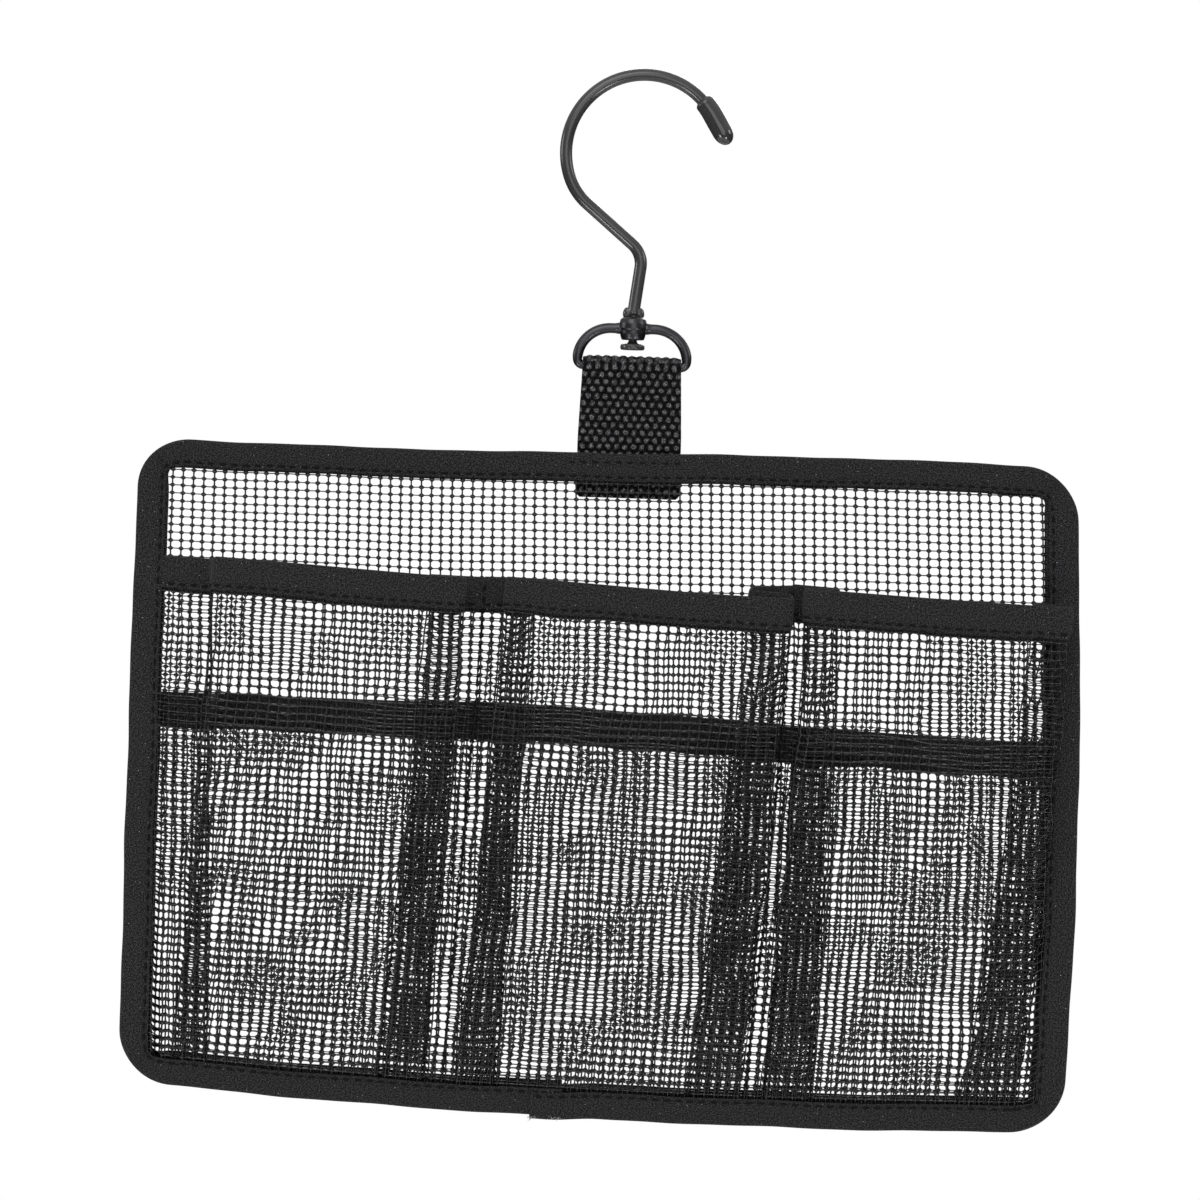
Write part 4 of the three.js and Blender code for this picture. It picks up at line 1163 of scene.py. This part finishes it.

# %% [markdown]
# ## Stitches
# Every seam is a lockstitch in black bonded thread. A stitch is a short dash that dives into the cloth
# at both ends, so each is a small spindle, half sunk in the groove that it pulls. Bonding leaves a thin
# dull film, so thread is plainer than tape, and only its twist of 0.4 mm shows. It is darker than the
# tape: partly its own black, and partly painted shade of its needle holes and groove.

# %% Rows of stitches
# Near black: the thread's own black, with painted shade of its needle holes and groove
bonded_thread = mottled_finish(
    "bonded_polyester_thread", {"Scale": 2500.0, "Detail": 2.0}, ("#020202", "#070707"), 0.7, 0.05,
    {"Specular IOR Level": 0.15})
stitch_pitch, stitch_length, thread_radius, thread_stand = 3.6, 2.1, 0.4, 0.18


def stitches(line, sides=6):
    """Rings of a row of stitches along a line of frame points."""
    starts = np.arange(0.5, arc_lengths(line)[-1] - stitch_length, stitch_pitch)
    profile = np.array([[0, 0.15], [0.15, 0.75], [0.5, 1.0], [0.85, 0.75], [1, 0.15]])
    middle = points_along(line, starts[:, None] + stitch_length * profile[None, :, 0])
    along = middle[:, -1] - middle[:, 0]
    along /= np.linalg.norm(along, axis=1)[:, None]
    one = np.cross(along, [0, 1, 0.001])
    one /= np.linalg.norm(one, axis=1)[:, None]
    two = np.cross(along, one)
    turn = whole_turn(sides)
    ring = one[:, None] * np.cos(turn)[None, :, None] + two[:, None] * np.sin(turn)[None, :, None]
    radii = thread_radius * profile[:, 1]
    return middle[:, :, None] + ring[:, None] * radii[None, :, None, None]


def stitched(name, lines):
    """One piece that holds every stitch of some rows."""
    parts = [skin(stitch) for line in lines for stitch in stitches(line)]
    piece = face_out(sculpt(name, *merge(parts)))
    return dress(piece, bonded_thread, "panel", "tape")


# %% Stitches of binding and hems
binding_stand = groove_stand * binding_half + thread_stand
binding_rows = [on_binding(groove_share * binding_width, binding_stand, side) for side in (-1, 1)]
stitched("binding_stitches", binding_rows)

hem_rows = []
for (face, place), pocket in pockets.items():
    stations = np.linspace(0, 1, round(pocket.length / hem_spacing))
    share = groove_share * hem_height / pocket.height
    for side in (1, -1):
        hem_rows.append(pocket.at(stations, share, side * (groove_stand * hem_half + thread_stand)))
stitched("hem_stitches", hem_rows)

# %% Stitches of seams and webbing
hem_stand, net_stand, foot_stand = 2.3, 1.4, 0.9
row_start, hem_end, net_begin = 2, 11, 13  # down from the mouth
seam_rows = []
for side, hems in ((-1, front_hems), (1, back_hems)):
    for k in (1, 2):
        mouth = hems[k] * panel_height
        down = np.linspace(mouth + row_start, inner_bottom, 120)
        stand = np.interp(down, [mouth + hem_end, mouth + net_begin, inner_bottom],
                          [hem_stand, net_stand, foot_stand])
        seam_rows.append(drawn(seam_at(k, down), down, side * stand))
stitched("seam_stitches", seam_rows)

# The webbing is held by a second row near the fold of the binding
strap_middle = panel_width / 2 + strap_offset
strap_row, strap_stand, row_left, row_right = 3.0, 0.93, 18, 19
across_strap = np.linspace(strap_middle - row_left, strap_middle + row_right, 60)
strap_rows = [drawn(across_strap, strap_row, side * strap_stand) for side in (-1, 1)]
stitched("strap_stitches", strap_rows)

# %% [markdown]
# ## Frayed end
# The cut end of the binding sheds a few fine yarns at the lap. Their pale colour, in patches of about
# half
# a millimetre, is painted light: the glints on these thin yarns and the light through them.

# %% Frayed yarns
# Pale, as painted light: the glints on the yarns and the light through them
pale_yarn = mottled_finish("pale_yarn_painted_light", {"Scale": 1800.0, "Detail": 2.0},
                           ("#3c3c3d", "#d8d8d6"), 0.5)

spread = np.random.default_rng(7)
corner_yarns, all_yarns = 18, 34  # the rest come out a little way along the end, and are shorter
yarn_radius, yarn_taper = 0.1, 0.6
lap_corner = on_binding(0.0, 0.0, -1)[-1]
turn = whole_turn(4)
ring = yarn_radius * np.stack([np.cos(turn), np.sin(turn), 0 * turn], -1)
t = np.linspace(0, 1, 7)[:, None]
yarns = []
for k in range(all_yarns):
    at_corner = k < corner_yarns
    from_end = spread.uniform(-0.3, 1.8) if at_corner else spread.uniform(5.5, 9.5)
    root = lap_corner + [from_end, spread.uniform(-1.7, -1.2), spread.uniform(0.1, 0.8)]
    way = np.array([spread.uniform(-0.9, 0.7), spread.uniform(-0.3, 0.1), spread.uniform(-1, 0.1)])
    reach = spread.uniform(0.8, 2.4) * (1 if at_corner else 0.6)
    curl = np.array([spread.uniform(-0.5, 0.5), spread.uniform(-0.5, 0.5), spread.uniform(0, 0.6)])
    line = root + reach * (way * t + curl * t ** 2)
    yarns.append(skin(line[:, None] + ring[None] * (1 - yarn_taper * t)[:, :, None]))
frayed = sculpt("frayed_yarns", *merge(yarns))
dress(face_out(frayed), pale_yarn, "panel", "tape")

# %% [markdown]
# ## Finish
# The box of the CAD model is printed at the end, as dressing is meant to keep the model's size.

# %% Measure and finish
print("CAD box   ", [[round(v, 4) for v in corner] for corner in cad_box])
